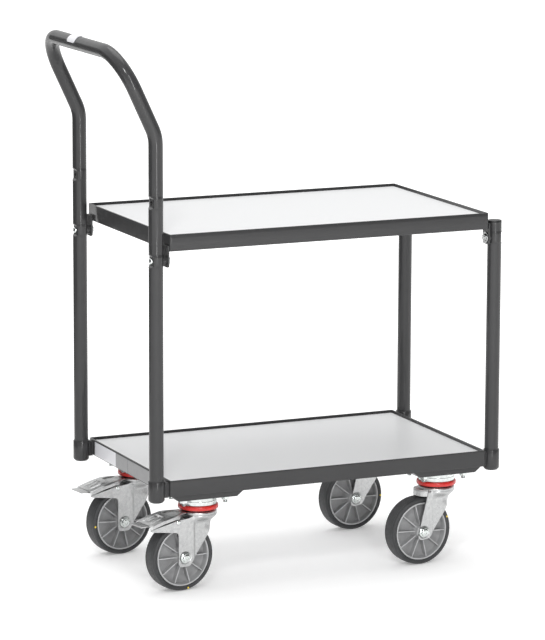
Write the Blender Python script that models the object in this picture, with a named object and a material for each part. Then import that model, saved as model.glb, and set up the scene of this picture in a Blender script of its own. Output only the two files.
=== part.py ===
"""Two-shelf table trolley with a bent-tube push handle, on four swivel castors.

Metres, +Z up. X runs along the trolley with the handle at -X, Y across it.
The origin is on the floor, under the middle of the whole object. Every constant below is
taken from the middle of the shelves, and the root empty carries the difference in X.
"""

import math

import bmesh
import bpy
from mathutils import Matrix, Vector

MM = 0.001
GAP = 0.3 * MM  # clearance left between neighbouring pieces
ORIGIN_X = 35.33 * MM  # the middle of the shelves, from the middle of the whole object

# Shelves
LENGTH = 625 * MM
WIDTH = 390 * MM
LOWER_TOP = 210.5 * MM
UPPER_TOP = 650.5 * MM
ANGLE_LEG = 30 * MM
ANGLE_WALL = 3 * MM
BOARD_RECESS = 5 * MM

# Tubes
TUBE_R = 12.9 * MM
TUBE_WALL = 1.5 * MM
POST_Y = 183 * MM
HANDLE_X = -333.5 * MM
POST_X = 330.6 * MM
TUBE_FOOT = 175.2 * MM
POST_TOP = 632 * MM
KINK_Z = 823 * MM
KINK_R = 70 * MM
GRIP_X = -401.5 * MM
GRIP_Z = 967.7 * MM
GRIP_BEND_R = 70 * MM
TUBE_SIDES = 16

# Fastening of the upper shelf
SCREW_Z = 604 * MM
SPARE_HOLE_Z = 707 * MM
DIMPLE_DEPTH = 4.6 * MM
DIMPLE_HALF = 7 * MM
DIMPLE_RAMP = 5.5 * MM
SCREW_R = 2.9 * MM
SCREW_HOLE_R = 3.4 * MM
TONGUE_T = 3 * MM
TONGUE_W = 24 * MM
TONGUE_BOTTOM = 592 * MM
TONGUE_TOP = 631 * MM

# Sockets of the lower shelf
SOCKET_R = 14.7 * MM
SOCKET_BORE_R = 13.2 * MM
SOCKET_BOTTOM = 171.5 * MM
SOCKET_TOP = 210 * MM

# Castors
AXIS_X = 237.5 * MM
AXIS_Y = 144.5 * MM
WHEEL_R = 62.5 * MM
TYRE_HALF = 16 * MM
TYRE_SEAT_R = 53.9 * MM
CENTRE_R = 53.3 * MM
TRAIL = 40 * MM
RIBS = 10
HUB_HALF = 19.8 * MM
FORK_IN = 20.2 * MM
FORK_OUT = 23.2 * MM
CROWN_TOP = 139.5 * MM
CROWN_BOTTOM = 136.5 * MM
CROWN_R = 33.5 * MM
SEAL_R = 36.4 * MM
SEAL_BOTTOM = 146 * MM
SEAL_TOP = 154 * MM
RACE_R = 33.5 * MM
PLATE_BOTTOM = 170.4 * MM
PLATE_TOP = 174.4 * MM
MOUNT_BOTTOM = 170.2 * MM
PEDAL_U = -54.8 * MM
PEDAL_Z = 128.5 * MM

# Corner: sign of x, sign of y, swivel angle in degrees, braked
CORNERS = {
    "fl": (-1, -1, 8.4, True),
    "rl": (-1, 1, 8.0, True),
    "fr": (1, -1, 6.0, False),
    "rr": (1, 1, 5.9, False),
}


# ---------------------------------------------------------------- scene

def clear_scene():
    for obj in list(bpy.data.objects):
        bpy.data.objects.remove(obj, do_unlink=True)
    for mesh in list(bpy.data.meshes):
        bpy.data.meshes.remove(mesh)


def material(name, colour, roughness, metallic):
    mat = bpy.data.materials.new(name)
    mat.use_nodes = True
    shader = mat.node_tree.nodes["Principled BSDF"]
    shader.inputs["Base Color"].default_value = (*colour, 1.0)
    shader.inputs["Roughness"].default_value = roughness
    shader.inputs["Metallic"].default_value = metallic
    mat.diffuse_color = (*colour, 1.0)
    return mat


def place(name, mesh, look, location=(0, 0, 0), angle=0.0, parent=None, smooth=True):
    """One named object with its own material."""
    colour, roughness, metallic = look
    obj = bpy.data.objects.new(name, mesh)
    bpy.context.scene.collection.objects.link(obj)
    mesh.materials.clear()
    mesh.materials.append(material(name, colour, roughness, metallic))
    obj.location = location
    obj.rotation_euler = (0, 0, angle)
    obj.parent = parent
    if smooth:
        mesh.shade_smooth()
        mesh.set_sharp_from_angle(angle=math.radians(35))
    return obj


def empty(name, location, angle=0.0, parent=None):
    obj = bpy.data.objects.new(name, None)
    bpy.context.scene.collection.objects.link(obj)
    obj.location = location
    obj.rotation_euler = (0, 0, angle)
    obj.parent = parent
    return obj


LOOK_FRAME = ((0.075, 0.075, 0.077), 0.32, 0.0)
LOOK_BOARD = ((0.78, 0.78, 0.78), 0.35, 0.0)
LOOK_CAP = ((0.015, 0.015, 0.016), 0.45, 0.0)
LOOK_ZINC = ((0.66, 0.67, 0.68), 0.32, 1.0)
LOOK_SEAL = ((0.72, 0.03, 0.025), 0.38, 0.0)
LOOK_TYRE = ((0.065, 0.067, 0.07), 0.62, 0.0)
LOOK_CENTRE = ((0.24, 0.245, 0.25), 0.42, 0.0)
LOOK_BLOCK = ((0.03, 0.03, 0.03), 0.7, 0.0)
LOOK_LABEL = ((0.82, 0.82, 0.84), 0.4, 0.0)


# ---------------------------------------------------------------- shapes

def mesh_from(name, verts, faces):
    mesh = bpy.data.meshes.new(name)
    mesh.from_pydata([tuple(v) for v in verts], [], faces)
    bm = bmesh.new()
    bm.from_mesh(mesh)
    bmesh.ops.remove_doubles(bm, verts=bm.verts, dist=1e-7)
    bmesh.ops.recalc_face_normals(bm, faces=bm.faces)
    bm.to_mesh(mesh)
    bm.free()
    return mesh


def turned(name, profile, sides, phase=0.0):
    """A closed outline of (radius, height) points turned about Z."""
    verts = []
    rings = []
    for r, z in profile:
        if r < 1e-9:
            rings.append([len(verts)])
            verts.append((0, 0, z))
            continue
        ring = []
        for k in range(sides):
            a = 2 * math.pi * k / sides + phase
            ring.append(len(verts))
            verts.append((r * math.cos(a), r * math.sin(a), z))
        rings.append(ring)
    faces = []
    for i, first in enumerate(rings):
        second = rings[(i + 1) % len(rings)]
        if len(first) == 1 and len(second) == 1:
            continue
        for k in range(sides):
            m = (k + 1) % sides
            if len(first) == 1:
                faces.append((first[0], second[m], second[k]))
            elif len(second) == 1:
                faces.append((first[k], first[m], second[0]))
            else:
                faces.append((first[k], first[m], second[m], second[k]))
    return mesh_from(name, verts, faces)


def prism(name, outline, low, high, axis="Z"):
    """A 2-D outline pushed from low to high along an axis.

    Along Y the outline is (x, z); along X it is (y, z); along Z it is (x, y).
    """
    def point(p, t):
        if axis == "Y":
            return (p[0], t, p[1])
        if axis == "X":
            return (t, p[0], p[1])
        return (p[0], p[1], t)

    n = len(outline)
    verts = [point(p, low) for p in outline] + [point(p, high) for p in outline]
    faces = [tuple(range(n)), tuple(range(2 * n - 1, n - 1, -1))]
    for k in range(n):
        m = (k + 1) % n
        faces.append((k, m, n + m, n + k))
    return mesh_from(name, verts, faces)


def box(name, x, y, z):
    outline = [(x[0], y[0]), (x[1], y[0]), (x[1], y[1]), (x[0], y[1])]
    return prism(name, outline, z[0], z[1])


def cylinder(name, radius, low, high, sides=16, axis="Z", centre=(0, 0)):
    outline = []
    for k in range(sides):
        a = 2 * math.pi * (k + 0.5) / sides
        outline.append((centre[0] + radius * math.cos(a), centre[1] + radius * math.sin(a)))
    return prism(name, outline, low, high, axis)


def arc(centre, radius, start, end, steps):
    """Points on an arc, angles in degrees."""
    points = []
    for k in range(steps + 1):
        a = math.radians(start + (end - start) * k / steps)
        points.append((centre[0] + radius * math.cos(a), centre[1] + radius * math.sin(a)))
    return points


def combine(mesh, others, operation):
    """Boolean of mesh with the other meshes, one after another."""
    scene = bpy.context.scene.collection
    base = bpy.data.objects.new("working_base", mesh)
    scene.objects.link(base)
    helpers = []
    for other in others:
        helper = bpy.data.objects.new("working_tool", other)
        scene.objects.link(helper)
        helpers.append(helper)
        step = base.modifiers.new("join", "BOOLEAN")
        step.operation = operation
        step.solver = "EXACT"
        step.object = helper
    graph = bpy.context.evaluated_depsgraph_get()
    graph.update()
    result = bpy.data.meshes.new_from_object(base.evaluated_get(graph))
    result.name = mesh.name
    for obj in [base, *helpers]:
        bpy.data.objects.remove(obj, do_unlink=True)
    return result


def moved(mesh, offset=(0, 0, 0), turn=None):
    matrix = Matrix.Translation(Vector(offset))
    if turn is not None:
        matrix = matrix @ turn
    mesh.transform(matrix)
    return mesh


# ---------------------------------------------------------------- shelves

def shelf_frame(name, top):
    """Angle steel mitred round the shelf: an upright wall and a flange turned in at the foot."""
    section = [
        (0, 0),
        (0, -ANGLE_LEG),
        (ANGLE_LEG, -ANGLE_LEG),
        (ANGLE_LEG, -ANGLE_LEG + ANGLE_WALL),
        (ANGLE_WALL, -ANGLE_LEG + ANGLE_WALL),
        (ANGLE_WALL, 0),
    ]
    verts = []
    for inset, z in section:
        x = LENGTH / 2 - inset
        y = WIDTH / 2 - inset
        verts += [(-x, -y, top + z), (x, -y, top + z), (x, y, top + z), (-x, y, top + z)]
    faces = []
    n = len(section)
    for i in range(n):
        j = (i + 1) % n
        for k in range(4):
            m = (k + 1) % 4
            faces.append((4 * i + k, 4 * i + m, 4 * j + m, 4 * j + k))
    return place(name, mesh_from(name, verts, faces), LOOK_FRAME, smooth=False)


def shelf_board(name, top):
    half_x = LENGTH / 2 - ANGLE_WALL - GAP
    half_y = WIDTH / 2 - ANGLE_WALL - GAP
    bottom = top - ANGLE_LEG + ANGLE_WALL + GAP
    mesh = box(name, (-half_x, half_x), (-half_y, half_y), (bottom, top - BOARD_RECESS))
    return place(name, mesh, LOOK_BOARD, smooth=False)


# ---------------------------------------------------------------- tubes

def bent(corner, before, after, radius, steps):
    """Points of the arc that rounds a corner of a centre line."""
    to_before = (before - corner).normalized()
    to_after = (after - corner).normalized()
    half = to_before.angle(to_after) / 2
    start = corner + to_before * (radius / math.tan(half))
    centre = corner + (to_before + to_after).normalized() * (radius / math.sin(half))
    arm = start - centre
    axis = to_before.cross(to_after).normalized()
    sweep = math.pi - 2 * half
    points = []
    for k in range(steps + 1):
        turn = Matrix.Rotation(-sweep * k / steps, 3, axis)
        points.append(centre + turn @ arm)
    return points


def hollow_tube(name, stations):
    """A tube along (point, tangent, normal, dent) stations; a dent flattens its normal side.

    The inner wall has half as many sides as the outer one.
    """
    outer = []
    inner = []
    verts = []
    for point, tangent, normal, dent in stations:
        side = tangent.cross(normal)
        walls = ((outer, TUBE_R, TUBE_SIDES), (inner, TUBE_R - TUBE_WALL, TUBE_SIDES // 2))
        for rings, radius, sides in walls:
            limit = radius - dent
            ring = []
            for k in range(sides):
                a = 2 * math.pi * k / sides
                reach = min(radius * math.cos(a), limit)
                ring.append(len(verts))
                verts.append(point + normal * reach + side * (radius * math.sin(a)))
            rings.append(ring)
    faces = []
    for rings in (outer, inner):
        sides = len(rings[0])
        for first, second in zip(rings, rings[1:]):
            for k in range(sides):
                m = (k + 1) % sides
                faces.append((first[k], first[m], second[m], second[k]))
    half = TUBE_SIDES // 2
    for end in (0, -1):
        rim, bore = outer[end], inner[end]
        for k in range(half):
            m = (k + 1) % half
            faces.append((rim[2 * k], rim[2 * k + 1], rim[2 * m], bore[m], bore[k]))
    return mesh_from(name, verts, faces)


def upright_levels(foot, head, dents):
    """Heights and dent depths up a straight leg, with a ramp into and out of every dent."""
    levels = [(foot, 0.0)]
    for z in dents:
        levels.append((z - DIMPLE_HALF - DIMPLE_RAMP, 0.0))
        levels.append((z - DIMPLE_HALF, DIMPLE_DEPTH))
        levels.append((z + DIMPLE_HALF, DIMPLE_DEPTH))
        levels.append((z + DIMPLE_HALF + DIMPLE_RAMP, 0.0))
    if head is not None:
        levels.append((head, 0.0))
    return levels


def handle_stations():
    """Up the rear leg, over the grip and down the front leg."""
    up = Vector((0, 0, 1))
    out = Vector((-1, 0, 0))
    kink = Vector((HANDLE_X, POST_Y, KINK_Z))
    grip = Vector((GRIP_X, POST_Y, GRIP_Z))
    far_grip = Vector((GRIP_X, -POST_Y, GRIP_Z))
    foot = Vector((HANDLE_X, POST_Y, TUBE_FOOT))
    lean = (grip - kink).normalized()
    lean_out = Vector((-lean.z, 0, lean.x))
    across = Vector((0, -1, 0))
    half = []
    for z, dent in upright_levels(TUBE_FOOT, None, (SCREW_Z, SPARE_HOLE_Z)):
        half.append((Vector((HANDLE_X, POST_Y, z)), up, out, dent))
    kink_points = bent(kink, foot, grip, KINK_R, 3)
    for k, point in enumerate(kink_points):
        t = k / (len(kink_points) - 1)
        angle = up.angle(lean) * t
        turn = Matrix.Rotation(-angle, 3, Vector((0, 1, 0)))
        half.append((point, turn @ up, turn @ out, 0.0))
    bend_points = bent(grip, kink, far_grip, GRIP_BEND_R, 6)
    for k, point in enumerate(bend_points):
        a = math.pi / 2 * k / (len(bend_points) - 1)
        tangent = lean * math.cos(a) + across * math.sin(a)
        half.append((point, tangent, lean_out, 0.0))
    other = []
    for point, tangent, normal, dent in reversed(half):
        other.append((
            Vector((point.x, -point.y, point.z)),
            Vector((-tangent.x, tangent.y, -tangent.z)),
            normal,
            dent,
        ))
    return half + other


def screw_bore(name, x, y, z):
    mesh = cylinder(name, SCREW_HOLE_R, -20 * MM, 20 * MM, 8, "X")
    return moved(mesh, (x, y, z))


def handle():
    mesh = hollow_tube("handle_tube", handle_stations())
    bores = []
    for y in (-POST_Y, POST_Y):
        for z in (SCREW_Z, SPARE_HOLE_Z):
            bores.append(screw_bore("bore", HANDLE_X, y, z))
    mesh = combine(mesh, bores, "DIFFERENCE")
    return place("handle_tube", mesh, LOOK_FRAME)


def straight_post(name, y):
    up = Vector((0, 0, 1))
    out = Vector((1, 0, 0))
    stations = []
    for z, dent in upright_levels(TUBE_FOOT, POST_TOP, (SCREW_Z,)):
        stations.append((Vector((POST_X, y, z)), up, out, dent))
    mesh = hollow_tube(name, stations)
    mesh = combine(mesh, [screw_bore("bore", POST_X, y, SCREW_Z)], "DIFFERENCE")
    return place(name, mesh, LOOK_FRAME)


def post_cap(name, y):
    """A plastic plug with a low flange that covers the tube's end."""
    base = POST_TOP + GAP
    plug = (TUBE_R - TUBE_WALL) * math.cos(2 * math.pi / TUBE_SIDES) - GAP
    profile = [
        (0, base - 9 * MM),
        (plug, base - 9 * MM),
        (plug, base),
        (TUBE_R, base),
        (TUBE_R, base + 2.0 * MM),
        (TUBE_R - 1.6 * MM, base + 3.5 * MM),
        (0, base + 3.5 * MM),
    ]
    return place(name, turned(name, profile, TUBE_SIDES), LOOK_CAP, (POST_X, y, 0))


def socket(name, sx, sy):
    """A blind cup for the foot of a tube, with the short web that is welded to the frame."""
    profile = [
        (0, SOCKET_BOTTOM),
        (SOCKET_R - 3.2 * MM, SOCKET_BOTTOM),
        (SOCKET_R, SOCKET_BOTTOM + 3.2 * MM),
        (SOCKET_R, SOCKET_TOP - 0.8 * MM),
        (SOCKET_R - 0.8 * MM, SOCKET_TOP),
        (SOCKET_BORE_R, SOCKET_TOP),
        (SOCKET_BORE_R, TUBE_FOOT - GAP),
        (0, TUBE_FOOT - GAP),
    ]
    x = HANDLE_X if sx < 0 else POST_X
    near = abs(x) - SOCKET_R + 0.6 * MM
    far = LENGTH / 2 + GAP
    web = box(
        "web",
        sorted((-sx * (abs(x) - near), -sx * (abs(x) - far))),
        (-6 * MM, 6 * MM),
        (SOCKET_BOTTOM + 8 * MM, SOCKET_TOP - 2.5 * MM),
    )
    mesh = combine(turned(name, profile, TUBE_SIDES), [web], "UNION")
    return place(name, mesh, LOOK_FRAME, (x, sy * POST_Y, 0))


# ---------------------------------------------------------------- upper fastening

def bracket(name, sx, sy):
    """A tongue on the end of the upper frame, with a saddled boss against the tube."""
    low = LENGTH / 2 + GAP
    high = low + TONGUE_T
    half = TONGUE_W / 2
    r = 5 * MM
    outline = [(half, TONGUE_TOP), (-half, TONGUE_TOP)]
    outline += arc((-half + r, TONGUE_BOTTOM + r), r, 180, 270, 3)
    outline += arc((half - r, TONGUE_BOTTOM + r), r, 270, 360, 3)
    plate = prism(name, outline, low, high, "X")
    tube_x = abs(HANDLE_X) if sx < 0 else POST_X
    boss = cylinder("boss", 8.5 * MM, high - 0.5 * MM, tube_x - 8 * MM, 12, "X", (0, SCREW_Z))
    mesh = combine(plate, [boss], "UNION")
    saddle = moved(cylinder("saddle", TUBE_R + GAP + 0.2 * MM, 0.5, 0.7, 24), (tube_x, 0, 0))
    bore = cylinder("bore", SCREW_HOLE_R, 0.3, 0.34, 8, "X", (0, SCREW_Z))
    mesh = combine(mesh, [saddle, bore], "DIFFERENCE")
    if sx < 0:
        mesh.transform(Matrix.Rotation(math.pi, 4, "Z"))
    return place(name, mesh, LOOK_FRAME, (0, sy * POST_Y, 0))


def hexagon(across_flats):
    r = across_flats / math.sqrt(3)
    return [(r * math.cos(math.radians(60 * k)), r * math.sin(math.radians(60 * k))) for k in range(6)]


def bracket_screw(name, sx, sy):
    """Pan-head screw through tube and tongue, with washer and nut on the shelf side."""
    tube_x = abs(HANDLE_X) if sx < 0 else POST_X
    seat = tube_x + TUBE_R - DIMPLE_DEPTH + GAP
    inside = LENGTH / 2
    washer = inside - 1.6 * MM
    nut = washer - 2.4 * MM
    end = nut - 0.4 * MM
    profile = [
        (0, end),
        (SCREW_R, end),
        (SCREW_R, washer),
        (10.5 * MM, washer),
        (10.5 * MM, inside),
        (SCREW_R, inside),
        (SCREW_R, seat),
        (5.8 * MM, seat),
        (5.8 * MM, seat + 2.2 * MM),
        (3.6 * MM, seat + 4.0 * MM),
        (0, seat + 4.0 * MM),
    ]
    along_x = Matrix.Rotation(math.pi / 2, 4, "Y")
    shaft = turned(name, profile, 12)
    body = prism("nut", hexagon(12 * MM), nut, washer + 0.4 * MM)
    mesh = combine(shaft, [body], "UNION")
    mesh.transform(along_x)
    if sx < 0:
        mesh.transform(Matrix.Rotation(math.pi, 4, "Z"))
    return place(name, mesh, LOOK_ZINC, (0, sy * POST_Y, SCREW_Z))


# ---------------------------------------------------------------- labels

def grip_badge(name):
    """A thin blank badge that wraps the outer top of the grip."""
    inner = TUBE_R + GAP
    outer = inner + 1.4 * MM
    outline = arc((GRIP_X, GRIP_Z), outer, 68, 172, 8)
    outline += arc((GRIP_X, GRIP_Z), inner, 172, 68, 8)
    return place(name, prism(name, outline, -3 * MM, 31 * MM, "Y"), LOOK_LABEL)


def end_label(name):
    """A thin blank strip stuck on the end face of the lower frame, below the handle."""
    face = -LENGTH / 2 - 0.3 * MM
    mesh = box(name, (face - 0.4 * MM, face), (-101 * MM, 166 * MM), (182.5 * MM, 208 * MM))
    return place(name, mesh, LOOK_LABEL, smooth=False)


# ---------------------------------------------------------------- castors

def mount_plate():
    """A pressed plate with sloping ends, recessed below for the castor's top plate."""
    half = 45.3 * MM
    top = LOWER_TOP - ANGLE_LEG - GAP
    outline = [
        (-56.5 * MM, MOUNT_BOTTOM),
        (56.5 * MM, MOUNT_BOTTOM),
        (68 * MM, top - 0.8 * MM),
        (68 * MM, top),
        (-68 * MM, top),
        (-68 * MM, top - 0.8 * MM),
    ]
    plate = prism("mount_plate", outline, -half, half, "Y")
    pocket = box("pocket", (-52 * MM, 52 * MM), (-42 * MM, 42 * MM), (0.1, PLATE_TOP + GAP))
    return combine(plate, [pocket], "DIFFERENCE")


def top_plate():
    """Castor top plate with its ball race, king pin and the ends of its four bolts."""
    mesh = box("top_plate", (-51.5 * MM, 51.5 * MM), (-41.5 * MM, 41.5 * MM), (PLATE_BOTTOM, PLATE_TOP))
    race = turned("race", [
        (0, PLATE_TOP - 1 * MM),
        (0, 130.6 * MM),
        (10 * MM, 130.6 * MM),
        (10 * MM, CROWN_BOTTOM - GAP),
        (6 * MM, CROWN_BOTTOM - GAP),
        (6 * MM, SEAL_TOP + GAP),
        (RACE_R, SEAL_TOP + GAP),
        (RACE_R, PLATE_TOP - 1 * MM),
    ], 20)
    bolts = []
    for x in (-40 * MM, 40 * MM):
        for y in (-30 * MM, 30 * MM):
            outline = [(x + p[0], y + p[1]) for p in hexagon(13 * MM)]
            bolts.append(prism("nut", outline, 162.6 * MM, PLATE_BOTTOM + 1 * MM))
            bolts.append(cylinder("thread", 3.9 * MM, 157.6 * MM, 164 * MM, 6, "Z", (x, y)))
    return combine(mesh, [race, *bolts], "UNION")


def swivel_seal():
    inner = 29.8 * MM
    return turned("swivel_seal", [
        (inner, SEAL_BOTTOM),
        (SEAL_R - 0.4 * MM, SEAL_BOTTOM),
        (SEAL_R, (SEAL_BOTTOM + SEAL_TOP) / 2),
        (SEAL_R - 0.8 * MM, SEAL_TOP),
        (inner, SEAL_TOP),
    ], 24)


def rounded(before, corner, after, radius, steps):
    """Points of the arc that rounds one corner of an outline."""
    here = Vector(corner)
    a = (Vector(before) - here).normalized()
    b = (Vector(after) - here).normalized()
    half = a.angle(b) / 2
    centre = here + (a + b).normalized() * (radius / math.sin(half))
    first = here + a * (radius / math.tan(half)) - centre
    last = here + b * (radius / math.tan(half)) - centre
    points = []
    for k in range(steps + 1):
        spoke = first.lerp(last, k / steps).normalized() * radius
        points.append(tuple(centre + spoke))
    return points


def fork_leg_outline(braked):
    """Side view of one leg: swivel axis at x = 0, axle at x = -TRAIL."""
    front = (8.5 * MM, 97 * MM)
    if braked:
        toe, heel, back = (-30.8 * MM, 46.2 * MM), (-54 * MM, 46.2 * MM), (-54 * MM, 104 * MM)
    else:
        toe, heel, back = (-28.0 * MM, 49.8 * MM), (-54.2 * MM, 46.8 * MM), (-37 * MM, 114 * MM)
    foot = rounded(front, toe, heel, 6 * MM, 3) + rounded(toe, heel, back, 5.5 * MM, 3)
    lead = [
        (29 * MM, CROWN_TOP - 0.4 * MM),
        (24 * MM, 127 * MM),
        (17.5 * MM, 109 * MM),
        (8.5 * MM, 97 * MM),
    ]
    if braked:
        trail = [
            (-54 * MM, 104 * MM),
            (-55.5 * MM, 108 * MM),
            (-59 * MM, 110.3 * MM),
            (-107 * MM, 117.3 * MM),
            (-111 * MM, 119.5 * MM),
            (-109 * MM, 121 * MM),
            (-57 * MM, 131.8 * MM),
            (-33 * MM, 133.8 * MM),
            (-17 * MM, CROWN_TOP - 0.4 * MM),
        ]
    else:
        trail = [
            (-37 * MM, 114 * MM),
            (-32 * MM, 130 * MM),
            (-31 * MM, CROWN_TOP - 0.4 * MM),
        ]
    return lead + foot + trail


def fork(braked):
    """Pressed fork: crown, swivel head and two legs."""
    name = "fork"
    head = turned(name, [
        (6.4 * MM, CROWN_BOTTOM),
        (CROWN_R, CROWN_BOTTOM),
        (CROWN_R, CROWN_TOP),
        (29 * MM, CROWN_TOP),
        (29 * MM, SEAL_TOP - GAP / 2),
        (6.4 * MM, SEAL_TOP - GAP / 2),
    ], 20)
    outline = fork_leg_outline(braked)
    parts = [
        prism("leg", outline, -FORK_OUT, -FORK_IN, "Y"),
        prism("leg", outline, FORK_IN, FORK_OUT, "Y"),
    ]
    if not braked:
        tail = arc((-22 * MM, 0), FORK_OUT - 0.2 * MM, 90, 270, 6)
        parts.append(prism("roof", tail, CROWN_BOTTOM + 0.2 * MM, CROWN_TOP - 0.2 * MM))
        skirt = tail + arc((-22 * MM, 0), FORK_IN + 0.2 * MM, 270, 90, 6)
        parts.append(prism("skirt", skirt, 127.6 * MM, CROWN_TOP - 0.8 * MM))
    mesh = combine(head, parts, "UNION")
    cutters = [cylinder("axle", 5.4 * MM, -0.05, 0.05, 10, "Y", (-TRAIL, WHEEL_R))]
    if braked:
        cutters.append(cylinder("pin", 3.5 * MM, -0.05, 0.05, 8, "Y", (PEDAL_U, PEDAL_Z)))
    return combine(mesh, cutters, "DIFFERENCE")


def axle():
    """Hex bolt with flange, and its flanged nut, centred on the axle and lying along Y."""
    flange = FORK_OUT + GAP
    profile = [
        (0, -flange - 1.4 * MM),
        (10 * MM, -flange - 1.4 * MM),
        (10 * MM, -flange),
        (4.9 * MM, -flange),
        (4.9 * MM, flange),
        (10 * MM, flange),
        (10 * MM, flange + 1.4 * MM),
        (0, flange + 1.4 * MM),
    ]
    shaft = turned("axle", profile, 14)
    hexes = [
        prism("head", hexagon(14 * MM), -flange - 5.6 * MM, -flange - 0.7 * MM),
        prism("nut", hexagon(14 * MM), flange + 0.7 * MM, flange + 7.2 * MM),
    ]
    mesh = combine(shaft, hexes, "UNION")
    mesh.transform(Matrix.Rotation(-math.pi / 2, 4, "X"))
    return mesh


def wheel_centre():
    """Moulded wheel centre: hub, thin web, ten ribs a side and the ring that carries the tyre."""
    rows = [
        (5.3 * MM, HUB_HALF, HUB_HALF),
        (12.5 * MM, HUB_HALF, HUB_HALF),
        (15.5 * MM, 12.0 * MM, 3.5 * MM),
        (49.3 * MM, 12.6 * MM, 3.5 * MM),
        (CENTRE_R, 15.0 * MM, 15.0 * MM),
    ]
    last = len(rows) - 1
    columns = RIBS * 3
    even = 2 * math.pi / columns
    verts = []
    index = {}
    for side in (-1, 1):
        for i, (r, rib, web) in enumerate(rows):
            foot = even if i in (0, 1, last) else min(even, 2.2 * MM / r)
            for k in range(RIBS):
                middle = 2 * math.pi * (k + 0.5) / RIBS
                for j, offset in enumerate((-foot, 0, foot)):
                    h = rib if j == 1 else web
                    a = middle + offset
                    index[side, i, 3 * k + j] = len(verts)
                    verts.append((r * math.cos(a), side * h, r * math.sin(a)))
    faces = []
    for c in range(columns):
        d = (c + 1) % columns
        for side in (-1, 1):
            for i in range(last):
                faces.append((
                    index[side, i, c],
                    index[side, i, d],
                    index[side, i + 1, d],
                    index[side, i + 1, c],
                ))
        for i in (0, last):
            faces.append((index[-1, i, c], index[-1, i, d], index[1, i, d], index[1, i, c]))
    return mesh_from("wheel_centre", verts, faces)


def tyre():
    profile = [
        (TYRE_SEAT_R, -15.2 * MM),
        (WHEEL_R - 4.2 * MM, -TYRE_HALF),
        (WHEEL_R - 1.2 * MM, -13 * MM),
        (WHEEL_R, -7 * MM),
        (WHEEL_R, 7 * MM),
        (WHEEL_R - 1.2 * MM, 13 * MM),
        (WHEEL_R - 4.2 * MM, TYRE_HALF),
        (TYRE_SEAT_R, 15.2 * MM),
    ]
    mesh = turned("tyre", profile, 32)
    mesh.transform(Matrix.Rotation(math.pi / 2, 4, "X"))
    return mesh


def pedal():
    """Stamped brake lever with turned-down sides, two inner lugs and a lip at its toe.

    Its origin is on the pivot, so heights and reaches are taken from there.
    """
    t = 2 * MM
    flange = 6 * MM
    stations = [
        (-33 * MM, 143.3 * MM, 15 * MM),
        (-55 * MM, 142.8 * MM, 23 * MM),
        (-66 * MM, 141.6 * MM, 27 * MM),
        (-86 * MM, 137.4 * MM, 27 * MM),
        (-113 * MM, 129.6 * MM, 27 * MM),
    ]
    verts = []
    for u, z, half in stations:
        x = u - PEDAL_U
        top = z - PEDAL_Z
        drop = flange if half > 20 * MM else t + 0.5 * MM
        section = [
            (-half, top - drop),
            (-half, top - 0.8 * MM),
            (-half + 0.8 * MM, top),
            (half - 0.8 * MM, top),
            (half, top - 0.8 * MM),
            (half, top - drop),
            (half - t, top - drop),
            (half - t, top - t),
            (-half + t, top - t),
            (-half + t, top - drop),
        ]
        verts += [(x, y, h) for y, h in section]
    n = 10
    faces = [tuple(range(n)), tuple(range(len(verts) - 1, len(verts) - 1 - n, -1))]
    for s in range(len(stations) - 1):
        for k in range(n):
            m = (k + 1) % n
            faces.append((s * n + k, s * n + m, s * n + n + m, s * n + n + k))
    mesh = mesh_from("pedal", verts, faces)
    toe = [
        (-104 * MM - PEDAL_U, 128.4 * MM - PEDAL_Z),
        (-114 * MM - PEDAL_U, 126.9 * MM - PEDAL_Z),
        (-124 * MM - PEDAL_U, 126.6 * MM - PEDAL_Z),
        (-124 * MM - PEDAL_U, 128.6 * MM - PEDAL_Z),
        (-114 * MM - PEDAL_U, 128.9 * MM - PEDAL_Z),
        (-104 * MM - PEDAL_U, 130.8 * MM - PEDAL_Z),
    ]
    lug = [(-5.5 * MM, 13.2 * MM), (5.5 * MM, 13.2 * MM)]
    lug += arc((0, 0), 5.5 * MM, 0, -180, 6)
    joined = [
        prism("toe", toe, -19 * MM, 19 * MM, "Y"),
        prism("lug", lug, -19.6 * MM, -17.6 * MM, "Y"),
        prism("lug", lug, 17.6 * MM, 19.6 * MM, "Y"),
    ]
    mesh = combine(mesh, joined, "UNION")
    slot = [
        (-76 * MM - PEDAL_U, -4 * MM),
        (-76 * MM - PEDAL_U, 4 * MM),
        (-100 * MM - PEDAL_U, 4 * MM),
        (-100 * MM - PEDAL_U, -4 * MM),
    ]
    cuts = [
        cylinder("bore", 3.5 * MM, -0.05, 0.05, 8, "Y"),
        prism("slot", slot, 0.0, 0.03),
    ]
    return combine(mesh, cuts, "DIFFERENCE")


def pedal_pin():
    """Riveted pin through both fork legs and the pedal's lugs."""
    head = FORK_OUT + GAP
    mesh = turned("pedal_pin", [
        (0, -head - 1.6 * MM),
        (3.6 * MM, -head - 1.6 * MM),
        (4.6 * MM, -head),
        (3.0 * MM, -head),
        (3.0 * MM, head),
        (4.6 * MM, head),
        (3.6 * MM, head + 1.6 * MM),
        (0, head + 1.6 * MM),
    ], 10)
    mesh.transform(Matrix.Rotation(math.pi / 2, 4, "X"))
    return mesh


def brake_block():
    """Block under the lever that is pressed on the tread."""
    outline = [
        (-64 * MM, 139.1 * MM),
        (-64 * MM, 126 * MM),
        (-72 * MM, 119.6 * MM),
        (-86 * MM, 111.6 * MM),
        (-88.5 * MM, 114 * MM),
        (-79 * MM, 126 * MM),
        (-75 * MM, 136.9 * MM),
    ]
    shifted = [(u - PEDAL_U, z - PEDAL_Z) for u, z in outline]
    return prism("brake_block", shifted, -11 * MM, 11 * MM, "Y")


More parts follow.
